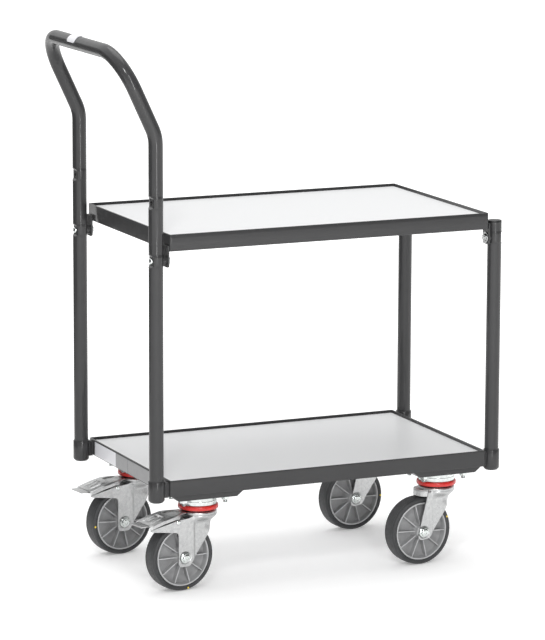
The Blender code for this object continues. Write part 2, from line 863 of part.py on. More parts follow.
def castor(corner, meshes):
    sx, sy, degrees, braked = CORNERS[corner]
    angle = math.radians(degrees)
    spot = (sx * AXIS_X, sy * AXIS_Y, 0)
    place("mount_plate_" + corner, meshes["mount"].copy(), LOOK_FRAME, spot, smooth=False)
    place("top_plate_" + corner, meshes["top"].copy(), LOOK_ZINC, spot)
    swivel = empty("swivel_" + corner, spot, angle)
    fork_mesh = meshes["fork_braked" if braked else "fork_free"].copy()
    place("fork_" + corner, fork_mesh, LOOK_ZINC, parent=swivel)
    place("swivel_seal_" + corner, meshes["seal"].copy(), LOOK_SEAL, parent=swivel)
    hub = (-TRAIL, 0, WHEEL_R)
    place("axle_" + corner, meshes["axle"].copy(), LOOK_ZINC, hub, parent=swivel)
    place("wheel_centre_" + corner, meshes["centre"].copy(), LOOK_CENTRE, hub, parent=swivel)
    place("tyre_" + corner, meshes["tyre"].copy(), LOOK_TYRE, hub, parent=swivel)
    if braked:
        pivot = (PEDAL_U, 0, PEDAL_Z)
        lever = empty("lever_" + corner, pivot, parent=swivel)
        place("pedal_" + corner, meshes["pedal"].copy(), LOOK_ZINC, parent=lever)
        place("brake_block_" + corner, meshes["block"].copy(), LOOK_BLOCK, parent=lever, smooth=False)
        place("pedal_pin_" + corner, meshes["pin"].copy(), LOOK_ZINC, pivot, parent=swivel)


# ---------------------------------------------------------------- assembly

def build():
    clear_scene()
    shelf_frame("lower_rim", LOWER_TOP)
    shelf_frame("upper_rim", UPPER_TOP)
    shelf_board("lower_board", LOWER_TOP)
    shelf_board("upper_board", UPPER_TOP)
    handle()
    for tag, y in (("front", -POST_Y), ("rear", POST_Y)):
        straight_post("post_" + tag, y)
        post_cap("post_cap_" + tag, y)
    grip_badge("handle_badge")
    end_label("rim_label")
    meshes = {
        "mount": mount_plate(),
        "top": top_plate(),
        "seal": swivel_seal(),
        "fork_braked": fork(True),
        "fork_free": fork(False),
        "axle": axle(),
        "centre": wheel_centre(),
        "tyre": tyre(),
        "pedal": pedal(),
        "pin": pedal_pin(),
        "block": brake_block(),
    }
    for corner, (sx, sy, _, _) in CORNERS.items():
        socket("socket_" + corner, sx, sy)
        bracket("bracket_" + corner, sx, sy)
        bracket_screw("bracket_screw_" + corner, sx, sy)
        castor(corner, meshes)
    root = empty("root", (ORIGIN_X, 0, 0))
    for obj in list(bpy.data.objects):
        if obj.parent is None and obj is not root:
            obj.parent = root


build()
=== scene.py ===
"""Looks of the two-shelf table trolley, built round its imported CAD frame.

Lengths named here are in metres. Castor pieces are modelled in the castor's own axes: the
swivel axis is the Z axis, x points forward, the wheel trails at -x, and z = 0 is the floor.
"""

import math

import bmesh
import bpy
from mathutils import Matrix, Vector


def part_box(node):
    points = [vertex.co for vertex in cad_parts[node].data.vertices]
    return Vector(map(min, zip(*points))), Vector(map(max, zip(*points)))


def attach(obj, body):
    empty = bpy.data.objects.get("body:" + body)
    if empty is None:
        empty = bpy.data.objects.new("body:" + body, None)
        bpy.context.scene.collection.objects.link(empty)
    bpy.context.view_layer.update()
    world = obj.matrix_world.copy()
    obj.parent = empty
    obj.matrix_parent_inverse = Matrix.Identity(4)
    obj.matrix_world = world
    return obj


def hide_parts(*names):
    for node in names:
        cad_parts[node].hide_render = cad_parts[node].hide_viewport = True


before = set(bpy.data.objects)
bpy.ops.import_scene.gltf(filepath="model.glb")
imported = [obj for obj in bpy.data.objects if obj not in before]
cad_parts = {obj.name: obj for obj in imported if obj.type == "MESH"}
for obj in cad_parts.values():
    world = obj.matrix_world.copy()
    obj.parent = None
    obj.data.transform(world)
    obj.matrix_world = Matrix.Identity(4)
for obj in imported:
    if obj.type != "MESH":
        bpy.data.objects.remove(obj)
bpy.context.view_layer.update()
MM = 0.001


def in_mm(*points):
    """Points given in millimetres, as metres."""
    return [tuple(c * MM for c in point) for point in points]


def linked(name, data):
    """A new object in the scene."""
    obj = bpy.data.objects.new(name, data)
    bpy.context.scene.collection.objects.link(obj)
    return obj


RIM_LOW, RIM_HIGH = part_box("upper_rim")
CENTRE_X = (RIM_LOW.x + RIM_HIGH.x) / 2
HALF_L = (RIM_HIGH.x - RIM_LOW.x) / 2
HALF_W = (RIM_HIGH.y - RIM_LOW.y) / 2
UPPER_TOP = RIM_HIGH.z
LOWER_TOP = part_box("lower_rim")[1].z
ANGLE_LEG = 30 * MM
ANGLE_WALL = 3 * MM
TUBE_R = 12.9 * MM
TUBE_WALL = 1.5 * MM
POST_LOW, POST_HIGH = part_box("post_front")
TUBE_FOOT, POST_TOP = POST_LOW.z, POST_HIGH.z
POST_X = (POST_LOW.x + POST_HIGH.x) / 2
POST_Y = -(POST_LOW.y + POST_HIGH.y) / 2
HANDLE_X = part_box("handle_tube")[1].x - TUBE_R
KINK_Z = 823 * MM
TUBE_BEND = 70 * MM
KINK_STEPS, GRIP_STEPS = 10, 18
SCREW_Z = (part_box("bracket_screw_fl")[0].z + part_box("bracket_screw_fl")[1].z) / 2
SPARE_HOLE_Z = 707 * MM
BORE_R = 3.4 * MM
DIMPLE_DEPTH = 4.6 * MM
SADDLE_SPAN = (500 * MM, 700 * MM)
BADGE_ARC = (68, 172)

# Castors. CORNERS gives how far each one has swivelled, in degrees, and whether it has a brake.
WHEEL_R = 62.5 * MM
TRAIL = 40 * MM
FORK_OUT = 23.2 * MM
FORK_T = 3 * MM
PEDAL_U = -54.8 * MM
PEDAL_Z = 128.5 * MM
FOOT_TOP = 60 * MM
RIBS = 10
DOT_REACH = 58.6 * MM
CORNERS = {
    "fl": (8.4, True),
    "rl": (8.0, True),
    "fr": (6.0, False),
    "rr": (5.9, False),
}


# ---------------------------------------------------------------- materials

def node(tree, kind, **values):
    made = tree.nodes.new(kind)
    for key, value in values.items():
        if key in made.inputs:
            made.inputs[key].default_value = value
        else:
            setattr(made, key, value)
    return made


def scaled(colour, factor):
    return tuple(min(1.0, c * factor) for c in colour[:3]) + (1.0,)


def ranged(tree, source, limits, interpolation="LINEAR"):
    """The source, mapped by limits (from low, from high, to low, to high)."""
    made = node(tree, "ShaderNodeMapRange", interpolation_type=interpolation)
    for name, value in zip(("From Min", "From Max", "To Min", "To Max"), limits):
        made.inputs[name].default_value = value
    tree.links.new(source, made.inputs["Value"])
    return made.outputs["Result"]


def computed(tree, operation, *values):
    """A Math node's result; each value is a number or another node's output."""
    made = node(tree, "ShaderNodeMath", operation=operation)
    for entry, value in zip(made.inputs, values):
        if isinstance(value, (int, float)):
            entry.default_value = value
        else:
            tree.links.new(value, entry)
    return made.outputs[0]


def principled(name, values):
    """A material, its node tree and its Principled shader, with values on its sockets."""
    mat = bpy.data.materials.new(name)
    mat.use_nodes = True
    shader = mat.node_tree.nodes["Principled BSDF"]
    for socket_name, value in values.items():
        shader.inputs[socket_name].default_value = value
    return mat, mat.node_tree, shader


def material(name, colour, rough, metallic=0.0, patches=(30, 0.06), rough_swing=0.05,
             bumps=((900, 0.15),), coat=0.0, coat_rough=0.2, specular=0.5, tint=None):
    """A Principled surface with clouded colour, uneven gloss and layers of fine relief.

    patches is (scale, swing) of the colour clouds; bumps are (scale, depth in mm) noises.
    """
    mat, tree, shader = principled(name, {
        "Metallic": metallic, "Coat Weight": coat, "Coat Roughness": coat_rough,
        "Specular IOR Level": specular})
    place = node(tree, "ShaderNodeTexCoord").outputs["Object"]
    scale, swing = patches
    cloud = node(tree, "ShaderNodeTexNoise", Scale=scale, Detail=5.0, Roughness=0.6)
    tree.links.new(place, cloud.inputs["Vector"])
    ramp = node(tree, "ShaderNodeValToRGB")
    ramp.color_ramp.elements[0].position = 0.3
    ramp.color_ramp.elements[0].color = scaled(colour, 1 - swing)
    ramp.color_ramp.elements[1].position = 0.7
    ramp.color_ramp.elements[1].color = scaled(tint or colour, 1 + swing)
    tree.links.new(cloud.outputs["Fac"], ramp.inputs["Fac"])
    tree.links.new(ramp.outputs["Color"], shader.inputs["Base Color"])
    gloss = node(tree, "ShaderNodeTexNoise", Scale=scale * 7, Detail=3.0)
    tree.links.new(place, gloss.inputs["Vector"])
    spread = ranged(tree, gloss.outputs["Fac"],
                    (0.3, 0.7, max(0.02, rough - rough_swing), rough + rough_swing))
    tree.links.new(spread, shader.inputs["Roughness"])
    normal = None
    for bump_scale, depth in bumps:
        grain = node(tree, "ShaderNodeTexNoise", Scale=bump_scale, Detail=2.0)
        tree.links.new(place, grain.inputs["Vector"])
        normal = relief(tree, grain.outputs["Fac"], depth, normal)
    if normal is not None:
        tree.links.new(normal, shader.inputs["Normal"])
    return mat


def relief(tree, height, depth, below=None):
    """A Bump of the height, depth mm deep, on top of the relief below it."""
    bump = node(tree, "ShaderNodeBump", Strength=1.0, Distance=depth * MM)
    tree.links.new(height, bump.inputs["Height"])
    if below is not None:
        tree.links.new(below, bump.inputs["Normal"])
    return bump.outputs["Normal"]


def add_relief(mat, height, depth):
    """Lays one more relief over a material that already has some."""
    tree = mat.node_tree
    socket = tree.nodes["Principled BSDF"].inputs["Normal"]
    below = socket.links[0].from_socket if socket.links else None
    tree.links.new(relief(tree, height, depth, below), socket)


def tread_relief(mat, count):
    """Fine ridges across a tyre that turns about its own Y axis."""
    tree = mat.node_tree
    split = node(tree, "ShaderNodeSeparateXYZ")
    tree.links.new(node(tree, "ShaderNodeTexCoord").outputs["Object"], split.inputs[0])
    x, y, z = split.outputs
    slanted = computed(tree, "MULTIPLY_ADD", y, RIDGE_SLANT, computed(tree, "ARCTAN2", x, z))
    wave = computed(tree, "SINE", computed(tree, "MULTIPLY", slanted, count))
    add_relief(mat, wave, 0.05)


def brushed_relief(mat, stretch, scale, depth):
    """Fine lines drawn out along one axis, as rolling and pressing leave them."""
    tree = mat.node_tree
    place = node(tree, "ShaderNodeTexCoord").outputs["Object"]
    drawn = node(tree, "ShaderNodeMapping")
    drawn.inputs["Scale"].default_value = stretch
    tree.links.new(place, drawn.inputs["Vector"])
    lines = node(tree, "ShaderNodeTexNoise", Scale=scale, Detail=4.0)
    tree.links.new(drawn.outputs["Vector"], lines.inputs["Vector"])
    add_relief(mat, lines.outputs["Fac"], depth)


RIDGES, RIDGE_SLANT = 210, 9.0
PAINT = material("powder_coat", (0.034, 0.034, 0.035), 0.46, patches=(9, 0.06),
                 rough_swing=0.04, bumps=((420, 0.012), (1500, 0.008)), coat=0.5, coat_rough=0.07,
                 specular=0.22)
LAMINATE = material("laminate", (0.70, 0.705, 0.71), 0.42, patches=(900, 0.025),
                    rough_swing=0.06, bumps=((1600, 0.02), (60, 0.03)))
CAP = material("cap_plastic", (0.014, 0.014, 0.015), 0.36, patches=(60, 0.15),
               bumps=((1800, 0.03),))
ZINC = material("zinc_plate", (0.50, 0.505, 0.51), 0.32, metallic=1.0, patches=(240, 0.07),
                rough_swing=0.09, bumps=((70, 0.10), (2200, 0.010)),
                tint=(0.57, 0.575, 0.57))
brushed_relief(ZINC, (1.0, 1.0, 0.05), 900, 0.010)
BRIGHT = material("bright_zinc", (0.66, 0.675, 0.68), 0.15, metallic=1.0, patches=(120, 0.10),
                  rough_swing=0.07, bumps=((900, 0.02),), tint=(0.70, 0.74, 0.715))
# Near-black: on the fork's neck it is painted shade for the gap under the seal; the flags use it
# as black card.
PAINTED_SHADE_AND_FLAG_BLACK = material("painted_shade_and_flag_black", (0.03, 0.03, 0.03), 0.55, patches=(150, 0.3),
                  bumps=((900, 0.1),))
SEAL = material("seal_plastic", (0.60, 0.020, 0.016), 0.30, patches=(90, 0.10),
                bumps=((1500, 0.02),), coat=0.3)
CENTRE = material("wheel_plastic", (0.31, 0.312, 0.316), 0.40, patches=(55, 0.12),
                  rough_swing=0.07, bumps=((2400, 0.03), (500, 0.05)))
# A lighter, glossier copy of the wheel plastic for the rib tops and the lip's outer faces: a
# painted highlight where light catches them.
PAINTED_HIGHLIGHT = material("wheel_plastic_painted_highlight", (0.46, 0.465, 0.47), 0.30, patches=(55, 0.08),
                 bumps=((2400, 0.02),), coat=0.3, coat_rough=0.15)
TYRE = material("tyre_rubber", (0.043, 0.044, 0.046), 0.56, patches=(45, 0.14),
                rough_swing=0.08, bumps=((2600, 0.06),))
tread_relief(TYRE, RIDGES)
DOT = material("marking_paint", (0.85, 0.62, 0.04), 0.5, patches=(400, 0.1))
RUBBER = material("block_rubber", (0.022, 0.022, 0.023), 0.7, patches=(200, 0.2),
                  bumps=((1800, 0.08),))
WHITE = material("label_white", (0.78, 0.78, 0.81), 0.34, patches=(300, 0.02),
                 bumps=((80, 0.05),), coat=0.2)
GREY = material("label_grey", (0.24, 0.24, 0.245), 0.36, patches=(120, 0.05),
                bumps=((80, 0.05), (1500, 0.02)), coat=0.2)
WELD = material("painted_weld", (0.042, 0.042, 0.043), 0.32, patches=(60, 0.08),
                bumps=((700, 0.08),), coat=0.22, coat_rough=0.1, specular=0.3)


# ---------------------------------------------------------------- meshes

def mesh_of(name, verts, faces):
    mesh = bpy.data.meshes.new(name)
    mesh.from_pydata([tuple(v) for v in verts], [], faces)
    bm = bmesh.new()
    bm.from_mesh(mesh)
    bmesh.ops.remove_doubles(bm, verts=bm.verts, dist=1e-7)
    bmesh.ops.recalc_face_normals(bm, faces=bm.faces)
    bm.to_mesh(mesh)
    bm.free()
    return mesh


def joined(name, *meshes):
    """Several meshes as one, each still a closed shell of its own."""
    bm = bmesh.new()
    for mesh in meshes:
        bm.from_mesh(mesh)
    made = bpy.data.meshes.new(name)
    bm.to_mesh(made)
    bm.free()
    return made


def band(first, second):
    """Faces between two closed rings of vertex numbers."""
    n = len(first)
    return [(first[k], first[(k + 1) % n], second[(k + 1) % n], second[k]) for k in range(n)]


def lathe(name, profile, sides=48, phase=0.0):
    """A closed outline of (radius, height) points turned about Z."""
    verts, rings = [], []
    for r, z in profile:
        count = 1 if r < 1e-9 else sides
        rings.append(range(len(verts), len(verts) + count))
        for k in range(count):
            a = 2 * math.pi * k / sides + phase
            verts.append((r * math.cos(a), r * math.sin(a), z))
    faces = []
    for first, second in zip(rings, rings[1:] + rings[:1]):
        turn = [(k, (k + 1) % sides) for k in range(sides)]
        if len(first) < len(second):
            faces += [(first[0], second[m], second[k]) for k, m in turn]
        elif len(second) < len(first):
            faces += [(first[k], first[m], second[0]) for k, m in turn]
        elif len(first) > 1:
            faces += band(first, second)
    return mesh_of(name, verts, faces)


def prism(name, outline, low, high, axis="Z"):
    """An outline pushed along an axis: (x, y) along Z, (x, z) along Y, (y, z) along X."""
    spots = {"Z": lambda p, t: (p[0], p[1], t), "Y": lambda p, t: (p[0], t, p[1]),
             "X": lambda p, t: (t, p[0], p[1])}
    n = len(outline)
    verts = [spots[axis](p, t) for t in (low, high) for p in outline]
    faces = [tuple(range(n)), tuple(range(2 * n - 1, n - 1, -1))]
    return mesh_of(name, verts, faces + band(range(n), range(n, 2 * n)))


def arc(centre, radius, start, end, steps):
    points = []
    for k in range(steps + 1):
        a = math.radians(start + (end - start) * k / steps)
        points.append((centre[0] + radius * math.cos(a), centre[1] + radius * math.sin(a)))
    return points


def circle(centre, radius, sides):
    return arc(centre, radius, 0, 360, sides)[:-1]


def filleted(corners, steps=3):
    """A polygon of (x, y, radius) corners with each corner rounded."""
    points = []
    n = len(corners)
    for i, (x, y, r) in enumerate(corners):
        here = Vector((x, y))
        before = (Vector(corners[i - 1][:2]) - here).normalized()
        after = (Vector(corners[(i + 1) % n][:2]) - here).normalized()
        half = before.angle(after) / 2
        if r <= 0 or half > math.pi / 2 - 1e-3:
            points.append((x, y))
            continue
        centre = here + (before + after).normalized() * (r / math.sin(half))
        start = here + before * (r / math.tan(half)) - centre
        end = here + after * (r / math.tan(half)) - centre
        turn = start.angle_signed(end)
        for k in range(steps + 1):
            a = -turn * k / steps
            points.append((
                centre.x + start.x * math.cos(a) - start.y * math.sin(a),
                centre.y + start.x * math.sin(a) + start.y * math.cos(a),
            ))
    return points


def box_outline(x0, x1, y0, y1, r=0.0, steps=4):
    return filleted([(x0, y0, r), (x1, y0, r), (x1, y1, r), (x0, y1, r)], steps)


def shell(name, front, back):
    """A sheet between two grids of points, closed round its border."""
    rows, n = len(front), len(front[0])
    count = rows * n
    faces = []
    for i in range(rows - 1):
        for a in range(i * n, i * n + n - 1):
            b, c, d = a + 1, a + n + 1, a + n
            faces += [(a, b, c, d), (count + d, count + c, count + b, count + a)]
    border = list(range(n)) + [i * n + n - 1 for i in range(1, rows)]
    border += [(rows - 1) * n + k for k in range(n - 2, -1, -1)]
    border += [i * n for i in range(rows - 2, 0, -1)]
    for a, b in zip(border, border[1:] + border[:1]):
        faces.append((a, count + a, count + b, b))
    return mesh_of(name, [p for row in front + back for p in row], faces)


def boolean(mesh, others, operation):
    """Boolean of mesh with the other meshes, one after another."""
    base = linked("working_base", mesh)
    helpers = [linked("working_tool", other) for other in others]
    for helper in helpers:
        step = base.modifiers.new("step", "BOOLEAN")
        step.operation = operation
        step.solver = "EXACT"
        step.object = helper
    graph = bpy.context.evaluated_depsgraph_get()
    graph.update()
    result = bpy.data.meshes.new_from_object(base.evaluated_get(graph))
    result.name = mesh.name
    for obj in [base, *helpers]:
        bpy.data.objects.remove(obj, do_unlink=True)
    return result


def shifted(mesh, offset, turn=None):
    matrix = Matrix.Translation(Vector(offset))
    mesh.transform(matrix @ turn if turn is not None else matrix)
    return mesh


def piece(name, mesh, mat, body, slot, matrix=None, replaces=(), bevel=0.0, smooth=40):
    """One shown piece: soft edges, a material, and the CAD body it rides on."""
    obj = linked(name, mesh)
    if not mesh.materials or mesh.materials[0] != mat:
        mesh.materials.clear()
        mesh.materials.append(mat)
    mesh.shade_smooth()
    if matrix is not None:
        obj.matrix_world = matrix
    if bevel:
        soft = obj.modifiers.new("soft_edges", "BEVEL")
        soft.width = bevel
        soft.segments = 2
        soft.limit_method = "ANGLE"
        soft.angle_limit = math.radians(smooth)
        soft.harden_normals = True
    else:
        mesh.set_sharp_from_angle(angle=math.radians(smooth))
    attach(obj, body)
    if replaces:
        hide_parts(*replaces)


def smoothstep(t):
    t = max(0.0, min(1.0, t))
    return t * t * (3 - 2 * t)


# ---------------------------------------------------------------- shelves

def swept_rim(name, top):
    """Angle steel round the shelf: rounded edges, fillet in the root, rounded corners."""
    w, leg = ANGLE_WALL, ANGLE_LEG
    section = filleted([
        (0, 0, 0.9 * MM), (0, -leg, 1.4 * MM), (leg, -leg, 0.9 * MM),
        (leg, -leg + w, 1.2 * MM), (w, -leg + w, 2.4 * MM), (w, 0, 0.9 * MM),
    ], 3)
    verts = []
    for inset, z in section:
        x, y = HALF_L - inset, HALF_W - inset
        outline = box_outline(-x, x, -y, y, max(3.4 * MM - inset, 0.3 * MM), 5)
        verts += [(CENTRE_X + x, y, top + z) for x, y in outline]
    n = len(section)
    c = len(verts) // n
    rings = [range(c * i, c * i + c) for i in range(n)]
    faces = [face for i in range(n) for face in band(rings[i - 1], rings[i])]
    piece(name + "_steel", mesh_of(name, verts, faces), PAINT, "frame", "frame_paint",
          replaces=[name], smooth=50)


def shelf_board(name):
    low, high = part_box(name)
    gap = 0.35 * MM
    outline = box_outline(low.x + gap, high.x - gap, low.y + gap, high.y - gap, 2 * MM, 4)
    piece(name + "_laminate", prism(name, outline, low.z, high.z), LAMINATE, "frame", "board",
          replaces=[name], bevel=0.5 * MM)


swept_rim("upper_rim", UPPER_TOP)
swept_rim("lower_rim", LOWER_TOP)
shelf_board("upper_board")
shelf_board("lower_board")


# ---------------------------------------------------------------- tubes

def bent(corner, before, after, radius, steps):
    """Points of the arc that rounds a corner of a centre line."""
    to_before = (before - corner).normalized()
    to_after = (after - corner).normalized()
    half = to_before.angle(to_after) / 2
    centre = corner + (to_before + to_after).normalized() * (radius / math.sin(half))
    arm = corner + to_before * (radius / math.tan(half)) - centre
    axis = to_before.cross(to_after).normalized()
    sweep = math.pi - 2 * half
    return [centre + Matrix.Rotation(-sweep * k / steps, 3, axis) @ arm
            for k in range(steps + 1)]


def tube(name, stations, sides=40, bore_sides=20):
    """A tube along (point, tangent, normal, dent); a dent flattens its normal side."""
    soft = 1.2 * MM
    verts, rings = [], {1: [], 2: []}
    for point, tangent, normal, dent in stations:
        side = tangent.cross(normal)
        swell = 1 + 0.225 * dent / TUBE_R
        for wall, radius, count in ((1, TUBE_R, sides), (2, TUBE_R - TUBE_WALL, bore_sides)):
            rings[wall].append(range(len(verts), len(verts) + count))
            for k in range(count):
                a = 2 * math.pi * k / count
                reach, edge = radius * math.cos(a), radius - dent
                over = reach - edge
                if dent > 1e-6 and over > -soft:
                    reach = edge - soft / 2 * (1 - min(1.0, (over + soft) / (2 * soft))) ** 2
                verts.append(point + normal * reach + side * (radius * swell * math.sin(a)))
    faces = []
    for wall in (1, 2):
        for first, second in zip(rings[wall], rings[wall][1:]):
            faces += band(first, second)
    ratio = sides // bore_sides
    for end in (0, -1):
        rim, bore = rings[1][end], rings[2][end]
        for k in range(bore_sides):
            edge = [rim[(ratio * k + i) % sides] for i in range(ratio + 1)]
            faces.append((*edge, bore[(k + 1) % bore_sides], bore[k]))
    return mesh_of(name, verts, faces)


def leg_levels(dents, head=None):
    """Heights and dent depths up a straight leg, close together round each dent."""
    levels = [(TUBE_FOOT, 0.0)]
    half, ramp = 7 * MM, 5.5 * MM
    for z in dents:
        for k in range(-12, 13):
            d = k / 12 * (half + ramp)
            levels.append((z + d, DIMPLE_DEPTH * smoothstep((half + ramp - abs(d)) / ramp)))
    return levels if head is None else levels + [(head, 0.0)]


def handle_stations():
    """Stations of the whole handle: one leg, kink and half grip, and their mirror image."""
    up, out, across = Vector((0, 0, 1)), Vector((-1, 0, 0)), Vector((0, -1, 0))
    low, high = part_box("handle_tube")
    grip = Vector((low.x + TUBE_R, POST_Y, high.z - TUBE_R))
    kink = Vector((HANDLE_X, POST_Y, KINK_Z))
    foot = Vector((HANDLE_X, POST_Y, TUBE_FOOT))
    lean = (grip - kink).normalized()
    lean_out = Vector((-lean.z, 0, lean.x))
    half = []
    for z, dent in leg_levels((SCREW_Z, SPARE_HOLE_Z)):
        half.append((Vector((HANDLE_X, POST_Y, z)), up, out, dent))
    for k, point in enumerate(bent(kink, foot, grip, TUBE_BEND, KINK_STEPS)):
        turn = Matrix.Rotation(-up.angle(lean) * k / KINK_STEPS, 3, Vector((0, 1, 0)))
        half.append((point, turn @ up, turn @ out, 0.0))
    far_grip = Vector((grip.x, -POST_Y, grip.z))
    for k, point in enumerate(bent(grip, kink, far_grip, TUBE_BEND, GRIP_STEPS)):
        a = math.pi / 2 * k / GRIP_STEPS
        half.append((point, lean * math.cos(a) + across * math.sin(a), lean_out, 0.0))
    other = [(Vector((p.x, -p.y, p.z)), Vector((-t.x, t.y, -t.z)), n, d)
             for p, t, n, d in reversed(half)]
    return half + other, grip


STATIONS, GRIP = handle_stations()


def bores(spots):
    return [shifted(prism("bore", circle((0, 0), BORE_R, 16), -20 * MM, 20 * MM, "X"), s)
            for s in spots]


def handle():
    holes = bores([(HANDLE_X, y, z) for y in (-POST_Y, POST_Y)
                   for z in (SCREW_Z, SPARE_HOLE_Z)])
    mesh = boolean(tube("handle", STATIONS), holes, "DIFFERENCE")
    piece("handle_bent_tube", mesh, PAINT, "frame", "frame_paint", replaces=["handle_tube"])


def straight_post(tag, y):
    stations = [(Vector((POST_X, y, z)), Vector((0, 0, 1)), Vector((1, 0, 0)), dent)
                for z, dent in leg_levels((SCREW_Z,), POST_TOP)]
    mesh = boolean(tube("post", stations), bores([(POST_X, y, SCREW_Z)]), "DIFFERENCE")
    piece("post_tube_" + tag, mesh, PAINT, "frame", "frame_paint", replaces=["post_" + tag])


def post_cap(tag, y):
    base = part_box("post_cap_" + tag)[0].z
    cap = lathe("cap", in_mm(
        (0, 0), (9.4, 0), (10.2, 0.8), (10.2, 9), (12.6, 9), (12.9, 9.3), (12.9, 10.5),
        (12.55, 11.2), (11.7, 11.75), (9.9, 12.15), (6, 12.4), (0, 12.5)), 48)
    piece("post_plug_" + tag, shifted(cap, (0, 0, base)), CAP, "frame", "cap",
          Matrix.Translation((POST_X, y, 0)), ["post_cap_" + tag])


handle()
for tag, y in (("front", -POST_Y), ("rear", POST_Y)):
    straight_post(tag, y)
    post_cap(tag, y)


def bead(start, end, radius, ripples=1.3 * MM):
    """A straight weld bead: a round run with the ripples of welding."""
    start, end = Vector(start), Vector(end)
    along = (end - start).normalized()
    side = along.orthogonal().normalized()
    other = along.cross(side)
    length = (end - start).length
    steps, sides = max(6, int(length / (ripples / 3))), 10
    verts, faces = [], []
    for s in range(steps + 1):
        d = length * s / steps
        taper = min(1.0, (d + 0.3 * MM) / (2 * MM), (length - d + 0.3 * MM) / (2 * MM))
        r = radius * (0.86 + 0.14 * abs(math.sin(math.pi * d / ripples))) * taper
        for x, y in circle((0, 0), r, sides):
            verts.append(start + along * d + side * x + other * y)
    for s in range(0, steps * sides, sides):
        faces += band(range(s, s + sides), range(s + sides, s + 2 * sides))
    faces += [tuple(range(sides)), tuple(range(len(verts) - 1, len(verts) - sides - 1, -1))]
    return mesh_of("weld", verts, faces)


# ---------------------------------------------------------------- corner fittings

def socket(corner, sx, sy):
    """Cup for the tube's foot, its web to the frame and the welds that hold it."""
    low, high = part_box("socket_" + corner)
    x = HANDLE_X if sx < 0 else POST_X
    y = sy * POST_Y
    bottom, top, floor = low.z / MM, high.z / MM, TUBE_FOOT / MM - 0.3
    cup = lathe("cup", in_mm(
        (0, bottom), (10.3, bottom), (11.3, bottom + 0.3), (14.1, bottom + 3.4),
        (14.7, bottom + 5), (14.7, top - 1), (14.4, top - 0.3), (13.8, top), (13.2, top),
        (13.2, floor), (0, floor)), 48)
    rim_x = CENTRE_X + sx * (HALF_L + 0.3 * MM)
    inner = x - sx * 14.1 * MM
    web = prism("web", box_outline(*sorted((rim_x, inner)), y - 6 * MM, y + 6 * MM),
                (bottom + 8) * MM, (top - 2.5) * MM)
    piece("socket_cup_" + corner, boolean(shifted(cup, (x, y, 0)), [web], "UNION"), PAINT,
          "frame", "frame_paint", replaces=["socket_" + corner], bevel=0.35 * MM)
    end = (top - 3.5) * MM
    welds = [bead((at, edge, (bottom + rise) * MM), (at, edge, end), radius * MM)
             for edge in (y - 6 * MM, y + 6 * MM)
             for at, rise, radius in ((rim_x, 10.5, 1.5), (inner, 9.5, 1.2))]
    piece("socket_weld_" + corner, joined("welds", *welds), WELD, "frame", "frame_paint")


def bracket(corner, sx, sy):
    """Tongue on the end of the upper frame, with a saddled boss against the tube."""
    low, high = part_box("bracket_" + corner)
    x = HANDLE_X if sx < 0 else POST_X
    y = sy * POST_Y
    inner = CENTRE_X + sx * (HALF_L + 0.3 * MM)
    outer = inner + sx * 3 * MM
    outline = filleted([
        (y - 12 * MM, high.z, 0.5 * MM), (y - 12 * MM, low.z, 5 * MM),
        (y + 12 * MM, low.z, 5 * MM), (y + 12 * MM, high.z, 0.5 * MM),
    ], 6)
    plate = prism("plate", outline, *sorted((inner, outer)), "X")
    boss = prism("boss", circle((y, SCREW_Z), 8.5 * MM, 32),
                 *sorted((outer - sx * 0.5 * MM, x - sx * 8 * MM)), "X")
    saddle = prism("saddle", circle((x, y), TUBE_R + 0.4 * MM, 48), *SADDLE_SPAN)
    bore = prism("bore", circle((y, SCREW_Z), BORE_R, 16),
                 *sorted((inner - sx * 5 * MM, x)), "X")
    mesh = boolean(boolean(plate, [boss], "UNION"), [saddle, bore], "DIFFERENCE")
    piece("bracket_tongue_" + corner, mesh, PAINT, "frame", "frame_paint",
          replaces=["bracket_" + corner], bevel=0.5 * MM)


def bracket_screw(corner, sx, sy):
    """Zinc pan-head screw with a cross recess, and its washer and nut on the shelf side."""
    low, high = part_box("bracket_screw_" + corner)
    seat = (high.x - low.x) / MM - 4
    shaft = lathe("screw", in_mm(
        (0, 0), (2.4, 0), (2.9, 0.5), (2.9, seat), (5.5, seat), (5.8, seat + 0.4),
        (5.7, seat + 1.8), (4.9, seat + 2.9), (3.2, seat + 3.7), (0, seat + 4)), 32)
    recess = [prism("recess", box_outline(-w * MM, w * MM, -h * MM, h * MM),
                    (seat + 2.2) * MM, (seat + 6) * MM) for w, h in ((2.6, 0.5), (0.5, 2.6))]
    end_x = low.x if sx > 0 else high.x
    spot = (Matrix.Translation((end_x, sy * POST_Y, SCREW_Z))
            @ Matrix.Rotation(sx * math.pi / 2, 4, "Y"))
    piece("screw_" + corner, boolean(shaft, recess, "DIFFERENCE"), BRIGHT, "frame", "zinc",
          spot, ["bracket_screw_" + corner], smooth=35)
    bore = prism("bore", circle((0, 0), 3.05 * MM, 24), -1 * MM, 12 * MM)
    blank = prism("nut", circle((0, 0), 12 * MM / math.sqrt(3), 6), 0.4 * MM, 2.7 * MM)
    nut = boolean(blank, [bore], "DIFFERENCE")
    washer = lathe("washer", in_mm(
        (3.2, 2.85), (10.2, 2.85), (10.5, 3.15), (10.5, 4.05), (10.2, 4.35), (3.2, 4.35)), 40)
    piece("nut_" + corner, joined("nut", nut, washer), ZINC, "frame", "zinc", spot,
          bevel=0.4 * MM, smooth=30)


SIDES = {"fl": (-1, -1), "rl": (-1, 1), "fr": (1, -1), "rr": (1, 1)}
for corner, (sx, sy) in SIDES.items():
    socket(corner, sx, sy)
    bracket(corner, sx, sy)
    bracket_screw(corner, sx, sy)


# ---------------------------------------------------------------- labels

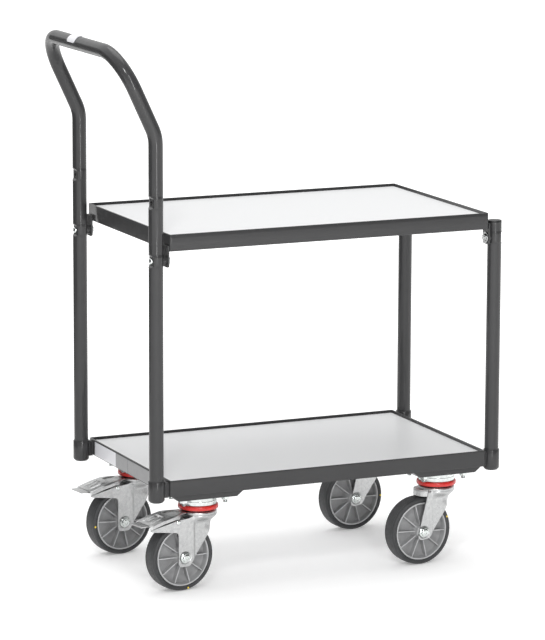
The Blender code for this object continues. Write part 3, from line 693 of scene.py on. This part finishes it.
def grip_badge():
    """Blank badge wrapped round the grip's outer top, with rounded corners."""
    low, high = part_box("handle_badge")
    outer, r, steps = TUBE_R + 1.4 * MM, 5 * MM, 24
    front, back = [], []
    for i in range(steps + 1):
        y = low.y + (high.y - low.y) * (1 - math.cos(math.pi * i / steps)) / 2
        near = max(0.0, r - min(y - low.y, high.y - y))
        trim = math.degrees((r - math.sqrt(max(0.0, r * r - near * near))) / outer)
        for rows, radius in ((front, outer), (back, TUBE_R + 0.25 * MM)):
            turn = arc((GRIP.x, GRIP.z), radius, BADGE_ARC[0] + trim, BADGE_ARC[1] - trim, 28)
            rows.append([(x, y, z) for x, z in turn])
    piece("grip_badge_blank", shell("badge", front, back), WHITE, "frame", "label",
          replaces=["handle_badge"], bevel=0.3 * MM)


def end_label():
    low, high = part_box("rim_label")
    split, seam, gap = 62 * MM, 3.4 * MM, 0.6 * MM
    runs = [("end_label_white", split, high.y, WHITE, ["rim_label"]),
            ("end_label_grey", seam + gap, split - 0.1 * MM, GREY, ()),
            ("end_label_grey_front", low.y, seam - gap, GREY, ())]
    for name, y0, y1, mat, stands_for in runs:
        outline = box_outline(y0, y1, low.z, high.z, 0.8 * MM, 3)
        mesh = prism("label", outline, low.x, high.x, "X")
        piece(name, mesh, mat, "frame", "label", replaces=stands_for, bevel=0.1 * MM)


grip_badge()
end_label()


# ---------------------------------------------------------------- castor meshes

def mount_plate_mesh(corner):
    """Pressed plate with sloping ends, hollow below for the castor's top plate."""
    low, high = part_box("mount_plate_" + corner)
    half_x, half_y = (high.x - low.x) / 2, (high.y - low.y) / 2
    foot, top, shoulder = half_x - 11.5 * MM, high.z, high.z - 0.8 * MM
    run = filleted([
        (-foot, low.z, 1.5 * MM), (foot, low.z, 1.5 * MM), (half_x, shoulder, 0.3 * MM),
        (half_x, top, 0), (-half_x, top, 0), (-half_x, shoulder, 0.3 * MM),
    ], 4)
    plate = prism("mount_plate", run, -half_y, half_y, "Y")
    pocket = prism("pocket", box_outline(-52 * MM, 52 * MM, -42 * MM, 42 * MM, 3 * MM),
                   100 * MM, PLATE_TOP + 0.3 * MM)
    return boolean(plate, [pocket], "DIFFERENCE")


PLATE_BOTTOM, PLATE_TOP = 170.4 * MM, 174.4 * MM
SEAL_LOW, SEAL_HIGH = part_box("swivel_seal_fl")[0].z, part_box("swivel_seal_fl")[1].z


def top_plate_mesh():
    outline = box_outline(-51.5 * MM, 51.5 * MM, -41.5 * MM, 41.5 * MM, 4 * MM)
    return prism("top_plate", outline, PLATE_BOTTOM, PLATE_TOP)


def race_mesh():
    """Upper ball race, drawn down from the top plate, with a groove half way, and king pin."""
    low, plate = SEAL_HIGH / MM + 0.3, PLATE_BOTTOM / MM
    pin = lathe("race", in_mm(
        (0, plate + 3.5), (0, 130.6), (9, 130.6), (10, 131.6), (10, 136), (6, 136),
        (6, plate + 3)), 40)
    drum = lathe("drum", in_mm(
        (7, low), (32.6, low), (33.3, low + 0.6), (33.5, low + 3), (33.5, low + 6.6),
        (33, low + 7.1), (32.9, low + 7.7), (33.1, low + 8.4), (33.2, plate - 2.6),
        (33.5, plate - 0.4), (33.5, plate + 0.6), (7, plate + 0.6)), 72)
    return joined("race", pin, drum)


def plate_bolts_mesh():
    """Four bolt ends below the top plate: washer, hex nut, and a threaded end."""
    plate = PLATE_BOTTOM / MM
    washer = lathe("washer", in_mm(
        (4.2, plate - 1.3), (7.9, plate - 1.3), (8.1, plate - 0.7), (8.1, plate - 0.05),
        (4.2, plate - 0.05)), 28)
    nut = lathe("nut", in_mm(
        (0, 162.7), (6.3, 162.7), (7.5, 163.5), (7.5, plate - 1.5), (0, plate - 1.5)), 6)
    ridges = [p for z in (158.1, 159.3, 160.5, 161.7) for p in ((3.9, z), (3.35, z + 0.6))]
    thread = lathe("thread", in_mm(
        (0, 157.6), (3.2, 157.6), *ridges, (3.35, 164), (0, 164)), 20)
    bolt = joined("bolt", washer, nut, thread)
    return joined("bolts", *[shifted(bolt.copy(), (x, y, 0)) for x in (-40 * MM, 40 * MM)
                             for y in (-30 * MM, 30 * MM)])


def seal_mesh():
    low, high = SEAL_LOW / MM, SEAL_HIGH / MM
    return lathe("seal", in_mm(
        (29.8, low), (35.4, low), (36, low + 0.5), (36.3, low + 1.6), (36.4, (low + high) / 2),
        (36.1, high - 1.8), (35.5, high - 0.7), (34.6, high - 0.15), (33.6, high),
        (29.8, high)), 72)


CROWN_R = 33.5 * MM


def foot_outline(braked):
    """Side view of the leg's foot: blunt, with two rounded corners."""
    if braked:
        toe, heel, back = (-30.8, 46.2), (-54, 46.2), (-54, 104)
    else:
        toe, heel, back = (-28.0, 49.8), (-54.2, 46.8), (-37, 114)
    corners = [((8.5, 97), 0), (toe, 8), (heel, 7.5), (back, 0)]
    return filleted([(x * MM, z * MM, r * MM) for (x, z), r in corners], 8)


FEET = {braked: foot_outline(braked) for braked in (True, False)}


def foot_reach(z, braked):
    """Rear and front of the foot's outline at height z."""
    outline = FEET[braked]
    found = []
    for (x0, z0), (x1, z1) in zip(outline, outline[1:]):
        if min(z0, z1) <= z <= max(z0, z1) and abs(z1 - z0) > 1e-9:
            found.append(x0 + (x1 - x0) * (z - z0) / (z1 - z0))
    return min(found), max(found)


def back_edge(z, braked):
    """How far back the fork's leg reaches at height z."""
    if z < FOOT_TOP:
        return foot_reach(z, braked)[0]
    if braked:
        marks = [(60, -54), (104, -54), (107.5, -55.2), (109.6, -57.5), (110.6, -61),
                 (117.2, -107), (118.4, -110.3), (119.6, -111), (121.0, -109), (131.8, -57),
                 (133.8, -33), (139.2, -17)]
    else:
        marks = [(60, foot_reach(FOOT_TOP, braked)[0] / MM), (114, -37), (130, -32), (139.5, -31)]
    return along_marks(marks, z / MM) * MM


def front_edge(z, braked):
    """How far forward the leg reaches at height z."""
    if z < 97 * MM:
        return foot_reach(z, braked)[1]
    return along_marks([(97, 8.5), (109, 17.5), (127, 24), (139.5, 29)], z / MM) * MM


def along_marks(marks, t):
    """Value at t on the line through (t, value) marks, held beyond its ends."""
    for (t0, v0), (t1, v1) in zip(marks, marks[1:]):
        if t <= t1:
            return v0 + (v1 - v0) * max(0.0, (t - t0) / (t1 - t0))
    return marks[-1][1]


def leg_rows(braked):
    """Heights of the leg's rows, closest where its outline turns."""
    low = min(z for _, z in FEET[braked]) / MM
    rows = [low + rise for rise in (0.02, 0.2, 0.5, 0.9, 1.4, 2, 2.7, 3.5, 4.6, 6, 8, 11)]
    rows += [62, 68, 74, 80, 86, 92, 97, 101, 104]
    if braked:
        rows += [107.5, 109.6, 110.6, 113, 117.2, 118.4, 119.6, 121, 124, 126, 128, 130,
                 131.8, 133.8, 135.5, 137, 138, 138.8, 139.2]
    else:
        rows += [109, 114, 118, 121, 124, 126, 128, 130, 132, 133.8, 135.5, 137, 138, 138.8,
                 139.5]
    return [z * MM for z in rows]


CREASE = -21.8 * MM
STEP_DEPTH = 2.6 * MM
STEP_WIDTH = 4.5 * MM


def pulled_in(u, z):
    """How far the leg's front part leans in beyond the step."""
    ahead = max(0.0, u - CREASE - STEP_WIDTH)
    return ahead * math.tan(math.radians(5 + 4 * smoothstep((z - 103 * MM) / (18 * MM))))


def stepped_in(u, z):
    """How far the outer face drops ahead of its upright crease, steepest at the crease."""
    fade = 1 - smoothstep((z - 123 * MM) / (13 * MM))
    t = min(1.0, max(0.0, (u - CREASE) / STEP_WIDTH))
    return STEP_DEPTH * fade * (1 - (1 - t) ** 2)


def leg_columns(back, end):
    """Places along a row from the back edge to the curl, closest at the crease."""
    first = max(back + 0.2 * MM, min(CREASE, end - 0.6 * MM))
    second = max(first + 0.2 * MM, min(CREASE + STEP_WIDTH, end - 0.2 * MM))
    places = []
    for a, b, count in ((back, first, 9), (first, second, 7), (second, end, 10)):
        places += [a + (b - a) * k / count for k in range(count)]
    return places


def fork_leg(side, braked):
    """One leg as a pressed shell: its leading edge curls in and its head swells to the crown."""
    curl, circle_end = 10, 24.2 * MM
    outer = []
    for z in leg_rows(braked):
        w = smoothstep((z - 121 * MM) / (15 * MM))
        back, front = back_edge(z, braked), front_edge(z, braked)
        opened = smoothstep((z - 96 * MM) / (20 * MM))
        r, turn = 9.5 * MM * opened + 0.4 * MM, math.radians(12 + 66 * opened)
        top_fall = 1.6 * MM * smoothstep((z - 136 * MM) / (3.5 * MM))
        row = []
        for u in leg_columns(back, (front - r) * (1 - w) + circle_end * w):
            swell = 0.0
            if abs(u) < circle_end:
                swell = max(0.0, math.sqrt(CROWN_R ** 2 - u * u) - FORK_OUT)
            lean = (1 - w) * pulled_in(u, z) + stepped_in(u, z)
            row.append((u, FORK_OUT + w * swell - lean))
        for k in range(curl + 1):
            t = k / curl
            fx = front - r + r * math.sin(turn * t)
            lean = pulled_in(fx, z) + stepped_in(fx, z)
            fy = FORK_OUT - lean - r + r * math.cos(turn * t)
            b = math.radians(43.8 - 26 * t)
            cx, cy = CROWN_R * math.cos(b), CROWN_R * math.sin(b)
            row.append((fx * (1 - w) + cx * w, fy * (1 - w) + cy * w))
        outer.append([Vector((x, side * (y - top_fall), z)) for x, y in row])
    last, end = len(outer) - 1, len(outer[0]) - 1
    inner = []
    for i, row in enumerate(outer):
        inner.append([])
        for k, point in enumerate(row):
            along = row[min(k + 1, end)] - row[max(k - 1, 0)]
            face = along.cross(outer[min(i + 1, last)][k] - outer[max(i - 1, 0)][k])
            if face.length < 1e-12:
                face = Vector((0, side, 0))
            face.normalize()
            if face.y * side < 0:
                face = -face
            out = Vector((face.x, face.y, 0))
            out = out.normalized() if out.length > 1e-6 else Vector((0, side, 0))
            thick = FORK_T - 0.5 * stepped_in(point.x, point.z)
            inner[-1].append(point - out * thick)
    dish = lathe("dish", in_mm((0, 0), (10.9, 0), (11.6, 0.8), (11.6, 6), (0, 6)), 40)
    spot = (-TRAIL, side * (FORK_OUT - 0.7 * MM), WHEEL_R)
    shifted(dish, spot, Matrix.Rotation(-side * math.pi / 2, 4, "X"))
    return boolean(shell("leg", outer, inner), [dish], "DIFFERENCE")


def fork_crown(braked):
    """Round crown with the rolled edge of the ball race and the head inside the seal."""
    parts = [lathe("crown", in_mm(
        (6.4, 136.5), (32.3, 136.5), (33.2, 137), (33.5, 138), (33.5, 140.7), (33, 141.9),
        (31.7, 142.8), (30.2, 143), (30, 138.9), (6.4, 138.9)), 72)]
    if not braked:
        tail = arc((-22 * MM, 0), 23.0 * MM, 90, 270, 24)
        inside = arc((-22 * MM, 0), 20.4 * MM, 270, 90, 24)
        parts.append(prism("roof", tail, 136.7 * MM, 139.3 * MM))
        parts.append(prism("skirt", tail + inside, 127.6 * MM, 138.6 * MM))
    return joined("crown", *parts)


def neck_mesh():
    """The ball race's neck inside the seal, painted near-black as the shade in the gap under the
    seal.
    """
    top = SEAL_HIGH / MM - 0.2
    return lathe("neck", in_mm((6.4, 139), (29.6, 139), (29, 140.5), (29, top), (6.4, top)), 48)


def axle_mesh():
    """Hex bolt on a round flange, set in the dish round its hole, and its nut."""
    y = FORK_OUT / MM + 0.4
    flange = [(10, y - 0.8), (10, y + 0.5), (9.4, y + 1.1), (8.2, y + 1.5)]
    shaft = lathe("axle", in_mm(
        (0, -y - 1.5), *[(r, -h) for r, h in reversed(flange)], (4.9, 0.8 - y), (4.9, y - 0.8),
        *flange, (0, y + 1.5)), 40)
    head = lathe("head", in_mm(
        (0, -y - 5.2), (2.6, -y - 5.2), (3.2, -y - 5.6), (5.6, -y - 5.6), (6.7, -y - 5.2),
        (7.9, -y - 4.4), (7.9, -y - 1.2), (0, -y - 1.2)), 6)
    nut = lathe("nut", in_mm(
        (0, y + 1.2), (7.9, y + 1.2), (7.9, y + 4.6), (6.4, y + 5.4), (5.4, y + 6.9),
        (0, y + 6.9)), 6)
    mesh = joined("axle", shaft, head, nut)
    mesh.transform(Matrix.Rotation(-math.pi / 2, 4, "X"))
    return mesh


def wheel_centre_mesh():
    """Moulded centre: hub, dished web, ten ribs and the ring that carries the tyre, with a
    painted highlight on the rib tops and the lip.
    """
    half = [(5.3, 19.4), (5.7, 19.8), (12.4, 19.8), (12.9, 19.3), (13.4, 14.0), (14.2, 12.6),
            (16.5, 6.0), (19.0, 3.9), (30, 3.3), (44, 3.5), (48.0, 5.2), (49.8, 9.5),
            (50.4, 14.4), (50.9, 15.0), (52.7, 15.2), (53.3, 14.7)]
    body = lathe("centre", in_mm(*half, *[(r, -h) for r, h in reversed(half)]), 80)
    ribs = []
    for k in range(RIBS):
        rib = prism("rib", in_mm((12, -14), (50.2, -12.9), (50.2, 12.9), (12, 14)),
                    -0.9 * MM, 0.9 * MM, "Y")
        rib.transform(Matrix.Rotation(2 * math.pi * k / RIBS, 4, "Z"))
        ribs.append(rib)
    mesh = boolean(body, [joined("ribs", *ribs)], "UNION")
    mesh.transform(Matrix.Rotation(math.pi / 2, 4, "X"))
    # Rib tops and the lip's outer faces take the lighter copy: painted highlight on the raised
    # edges.
    mesh.materials.clear()
    mesh.materials.append(CENTRE)
    mesh.materials.append(PAINTED_HIGHLIGHT)
    for face in mesh.polygons:
        reach, out = math.hypot(face.center.x, face.center.z), abs(face.center.y)
        on_lip = reach > 51.2 * MM and out > 14 * MM
        on_rib = out > 12.6 * MM and abs(face.normal.y) > 0.9
        face.material_index = int(on_lip or on_rib)
    return mesh


def tyre_mesh():
    """Solid tyre: flat tread with two fine grooves, round shoulders, a step in each wall."""
    half = [(53.9, 15.0), (54.6, 15.35), (56.6, 15.5), (57.2, 15.9), (58.4, 16.0), (59.7, 15.7),
            (60.8, 14.9), (61.55, 13.6), (61.95, 12.0), (62.15, 9.4), (62.0, 9.1), (62.0, 8.7),
            (62.3, 8.4), (62.5, 4.0)]
    outline = in_mm(*half, (62.5, 0), *[(r, -h) for r, h in reversed(half)])
    mesh = lathe("tyre", outline, 128)
    mesh.transform(Matrix.Rotation(math.pi / 2, 4, "X"))
    return mesh


def pedal_height(x, y):
    """Top of the pressed pedal at a place x along from the pivot and y across, in mm."""
    z = along_marks([(-60, -9.0), (-58.2, 1.1), (-31.2, 8.9), (-11.2, 13.1), (-0.2, 14.3),
                     (21.8, 14.8)], x)
    y = abs(y)
    z -= 2.2 * smoothstep((x + 14) / 5) * smoothstep((16 - y) / 4) * smoothstep((16 - x) / 8)
    rib = smoothstep((1.9 - abs(y - 13)) / 1.4)
    rib *= smoothstep((x + 54) / 3) * smoothstep((-20 - x) / 3)
    bar = smoothstep((2.2 - abs(x + 24)) / 1.5) * smoothstep((15 - y) / 2)
    stem = smoothstep((3.2 - y) / 1.5) * smoothstep((x + 50) / 3) * smoothstep((-24 - x) / 3)
    return z + 1.3 * max(rib, bar) - 1.5 * stem


def pedal_half(x):
    """Half the pedal's width at x mm along."""
    return along_marks([(-58.2, 25.5), (-56, 27), (-11.2, 27), (-0.2, 23), (10, 17.5),
                        (21.8, 15)], x)


def pedal_mesh():
    """Stamped lever: pressed top with ribs, turned-down sides, lugs and a toe lip."""
    sheet = 1.8
    edges = [0.9, 0.95, 0.985, 1.0]
    across = [-a for a in reversed(edges)] + [-0.86 + 1.72 * k / 36 for k in range(37)] + edges
    top, under = [], []
    for x in [-58.2 + 80 * k / 64 for k in range(65)]:
        half = pedal_half(x)
        edge = pedal_height(x, half)
        skirt = [(half, edge - 2.2), (half, edge - 6.2 * smoothstep((half - 17) / 6) - 1.2)]
        line = [(-y, z) for y, z in reversed(skirt)]
        for a in across:
            round_off = 1.5 * max(0.0, (abs(a) - 0.9) / 0.1) ** 2
            line.append((a * half, pedal_height(x, a * half) - round_off))
        line += skirt
        pull = min(1.0, (half - sheet) / half)
        top.append(in_mm(*[(x, y, z) for y, z in line]))
        under.append(in_mm(*[
            (x, y * pull, min(z, (pedal_height(x, y * pull) if abs(y) < half * 0.995 else edge)
                              - sheet)) for y, z in line]))
    slot = prism("slot", box_outline(-45 * MM, -29 * MM, -2.2 * MM, 2.2 * MM, 2 * MM),
                 -10 * MM, 30 * MM)
    parts = [boolean(shell("pedal", top, under), [slot], "DIFFERENCE")]
    toe = filleted(in_mm((-49.4, 0.1, 0), (-59.2, -1.4, 4), (-74.6, -1.7, 0.6),
                         (-74.6, 0, 0.6), (-59.2, 0.3, 4), (-49.4, 2.1, 0)), 4)
    parts.append(prism("toe", toe, -19 * MM, 19 * MM, "Y"))
    lug = arc((0, 0), 5.5 * MM, 0, -180, 16) + in_mm((-5.5, 12.6), (5.5, 12.6))
    parts += [prism("lug", lug, (y - 1) * MM, (y + 1) * MM, "Y") for y in (-18.6, 18.6)]
    return joined("pedal", *parts)


def pedal_pin_mesh():
    y = FORK_OUT / MM + 0.3
    dome = [(4.6, y), (4.5, y + 0.5), (3.9, y + 1.1), (2.6, y + 1.5), (0, y + 1.6)]
    mesh = lathe("pin", in_mm(
        *[(r, -h) for r, h in reversed(dome)], (3, -y), (3, y), *dome), 28)
    mesh.transform(Matrix.Rotation(math.pi / 2, 4, "X"))
    return mesh


def brake_block_mesh():
    outline = filleted(in_mm(
        (-9.2, 10.6, 0), (-9.2, -2.5, 1.5), (-17.2, -8.9, 2), (-31.2, -16.9, 0.8),
        (-33.7, -14.5, 0.8), (-24.2, -2.5, 2), (-20.2, 8.4, 0)), 4)
    return prism("block", outline, -11 * MM, 11 * MM, "Y")


# ---------------------------------------------------------------- castors

MESHES = {
    "top": top_plate_mesh(),
    "race": race_mesh(),
    "bolts": plate_bolts_mesh(),
    "seal": seal_mesh(),
    "axle": axle_mesh(),
    "neck": neck_mesh(),
    "centre": wheel_centre_mesh(),
    "tyre": tyre_mesh(),
    "pedal": pedal_mesh(),
    "pin": pedal_pin_mesh(),
    "block": brake_block_mesh(),
}
for braked in (True, False):
    legs = [fork_leg(side, braked) for side in (-1, 1)]
    MESHES["fork", braked] = joined("fork", fork_crown(braked), *legs)

# Each tyre's painted dot, as (forward, up) in mm from below the swivel axis, and each wheel's
# turn in degrees.
DOTS = {"fl": (-30.4, 6.1), "rl": (-97.8, 58.9), "fr": (16.7, 85.1), "rr": (18.4, 60.7)}
SPIN = {"fl": 1, "rl": 4, "fr": 4, "rr": 2}


def castor(corner):
    degrees, braked = CORNERS[corner]
    low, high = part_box("top_plate_" + corner)
    fixed = Matrix.Translation(((low.x + high.x) / 2, (low.y + high.y) / 2, 0))
    swivel = fixed @ Matrix.Rotation(math.radians(degrees), 4, "Z")
    hub = swivel @ Matrix.Translation((-TRAIL, 0, WHEEL_R))
    lever = swivel @ Matrix.Translation((PEDAL_U, 0, PEDAL_Z))
    turning, rolling = "swivel_" + corner, "wheel_" + corner

    def add(name, key, mat, body, slot, matrix, stands_for=None, **more):
        if stands_for:
            more["replaces"] = [stands_for + "_" + corner]
        piece(name + "_" + corner, MESHES[key].copy(), mat, body, slot, matrix, **more)

    piece("mount_pressing_" + corner, mount_plate_mesh(corner), PAINT, "frame", "frame_paint",
          fixed, ["mount_plate_" + corner], bevel=0.5 * MM)
    add("castor_plate", "top", ZINC, "frame", "zinc", fixed, "top_plate", bevel=0.5 * MM)
    add("castor_race", "race", BRIGHT, "frame", "zinc", fixed)
    add("castor_bolts", "bolts", BRIGHT, "frame", "zinc", fixed, smooth=30)
    add("swivel_ring", "seal", SEAL, turning, "seal", swivel, "swivel_seal")
    add("fork_pressing", ("fork", braked), ZINC, turning, "zinc", swivel, "fork",
        bevel=0.8 * MM, smooth=50)
    # The neck is painted near-black: painted shade under the seal.
    add("fork_neck", "neck", PAINTED_SHADE_AND_FLAG_BLACK, turning, "zinc", swivel)
    add("axle_bolt", "axle", BRIGHT, turning, "zinc", hub, "axle", smooth=30)
    centre = MESHES["centre"].copy()
    centre.transform(Matrix.Rotation(math.radians(SPIN[corner]), 4, "Y"))
    piece("wheel_moulding_" + corner, centre, CENTRE, rolling, "wheel_centre", hub,
          ["wheel_centre_" + corner], smooth=35)
    add("tyre_ring", "tyre", TYRE, rolling, "tyre", hub, "tyre")
    u, z = DOTS[corner]
    mark = Vector((u * MM + TRAIL, 0, z * MM - WHEEL_R)).normalized() * DOT_REACH
    dot = lathe("dot", in_mm((0, 0.25), (1.5, 0.2), (1.8, 0), (0, -0.3)), 20)
    place = (hub @ Matrix.Translation((mark.x, -16.0 * MM, mark.z))
             @ Matrix.Rotation(math.pi / 2, 4, "X"))
    piece("tyre_dot_" + corner, dot, DOT, rolling, "tyre", place)
    if braked:
        pedal = "pedal_" + corner
        add("pedal_pressing", "pedal", ZINC, pedal, "zinc", lever, "pedal", smooth=45)
        add("brake_shoe", "block", RUBBER, pedal, "brake_block", lever, "brake_block",
            bevel=0.4 * MM)
        add("pedal_rivet", "pin", BRIGHT, turning, "zinc", lever, "pedal_pin")


for corner in CORNERS:
    castor(corner)


# ---------------------------------------------------------------- camera, floor and light

# The floor's own glow over distance, and the studio's light along each axis of a direction,
# as (from low, from high, to low, to high).
FLOOR_GLOW = (0.6, 3.2, 0.235, 0.62)
STUDIO = {
    "X": (-0.6, 0.5, 0.34, 0.0),
    "Y": (-0.6, 0.8, 0.04, 0.85),
    "Z": (0.1, 0.9, 0.0, 0.30),
}


def camera():
    """The view: yaw from +Y towards +X, pitch down and a slight roll, through a long lens."""
    yaw, pitch, roll = (math.radians(a) for a in (24.148, 10.696, 0.198))
    level = math.cos(pitch)
    forward = Vector((math.sin(yaw) * level, math.cos(yaw) * level, -math.sin(pitch)))
    right = Vector((math.cos(yaw), -math.sin(yaw), 0))
    up = right.cross(forward)
    right_rolled = right * math.cos(roll) + up * math.sin(roll)
    up_rolled = up * math.cos(roll) - right * math.sin(roll)
    data = bpy.data.cameras.new("camera")
    data.sensor_width = 36.0
    data.lens = 209.55
    data.clip_end = 200
    obj = linked("camera", data)
    turn = Matrix((right_rolled, up_rolled, -forward)).transposed().to_4x4()
    obj.matrix_world = Matrix.Translation((-2.76654 + CENTRE_X, -6.10772, 1.70908)) @ turn
    bpy.context.scene.camera = obj


def area(name, location, target, size, power):
    data = bpy.data.lights.new(name, "AREA")
    data.shape = "RECTANGLE"
    data.size, data.size_y = size
    data.energy = power
    obj = linked(name, data)
    obj.location = location
    obj.rotation_euler = (Vector(target) - Vector(location)).to_track_quat("-Z", "Y").to_euler()


def flag(name, start, end):
    """An upright black card that the camera doesn't see: it darkens what steel reflects."""
    (x0, y0, z0), (x1, y1, z1) = start, end
    mesh = mesh_of(name, [(x0, y0, z0), (x1, y1, z0), (x1, y1, z1), (x0, y0, z1)], [(0, 1, 2, 3)])
    mesh.materials.append(PAINTED_SHADE_AND_FLAG_BLACK)
    obj = linked(name, mesh)
    obj.visible_camera = False
    obj.visible_shadow = False


def floor_and_world():
    """A pale floor, and a studio that is bright behind and above and dim towards the front."""
    half = 40.0
    corners = [(-half, -half, 0), (half, -half, 0), (half, half, 0), (-half, half, 0)]
    mesh = mesh_of("floor", corners, [(0, 1, 2, 3)])
    mat, tree, shader = principled("floor", {
        "Base Color": (0.92, 0.92, 0.92, 1), "Roughness": 0.9, "Specular IOR Level": 0.1,
        "Emission Color": (1, 1, 1, 1)})
    reach = node(tree, "ShaderNodeVectorMath", operation="LENGTH")
    tree.links.new(node(tree, "ShaderNodeTexCoord").outputs["Object"], reach.inputs[0])
    glow = ranged(tree, reach.outputs["Value"], FLOOR_GLOW, "SMOOTHSTEP")
    tree.links.new(glow, shader.inputs["Emission Strength"])
    mesh.materials.append(mat)
    linked("floor", mesh)
    world = bpy.data.worlds.new("studio")
    world.use_nodes = True
    tree = world.node_tree
    split = node(tree, "ShaderNodeSeparateXYZ")
    tree.links.new(node(tree, "ShaderNodeTexCoord").outputs["Generated"], split.inputs[0])
    side, depth, rise = (ranged(tree, split.outputs[axis], STUDIO[axis], "SMOOTHSTEP")
                         for axis in "XYZ")
    strength = computed(tree, "ADD", computed(tree, "ADD", depth, side), rise)
    lit = tree.nodes["Background"]
    lit.inputs["Color"].default_value = (1, 1, 1, 1)
    tree.links.new(strength, lit.inputs["Strength"])
    white = node(tree, "ShaderNodeBackground", Color=(1, 1, 1, 1), Strength=1.05)
    path = node(tree, "ShaderNodeLightPath")
    mix = node(tree, "ShaderNodeMixShader")
    tree.links.new(path.outputs["Is Camera Ray"], mix.inputs[0])
    tree.links.new(lit.outputs[0], mix.inputs[1])
    tree.links.new(white.outputs[0], mix.inputs[2])
    tree.links.new(mix.outputs[0], tree.nodes["World Output"].inputs["Surface"])
    bpy.context.scene.world = world


camera()
floor_and_world()
area("key", (-1.9, -3.1, 3.2), (0, 0, 0.45), (0.7, 0.7), 46)
area("strip", (-0.75, -4.2, 1.5), (0, 0, 0.6), (0.35, 3.0), 60)
flag("flag_left", (-2.4, -0.5, 0.0), (-0.9, 2.2, 1.3))
area("top", (0.2, 0.4, 3.6), (0, 0, 0.3), (2.4, 2.4), 40)
bpy.context.scene.view_settings.view_transform = "Standard"
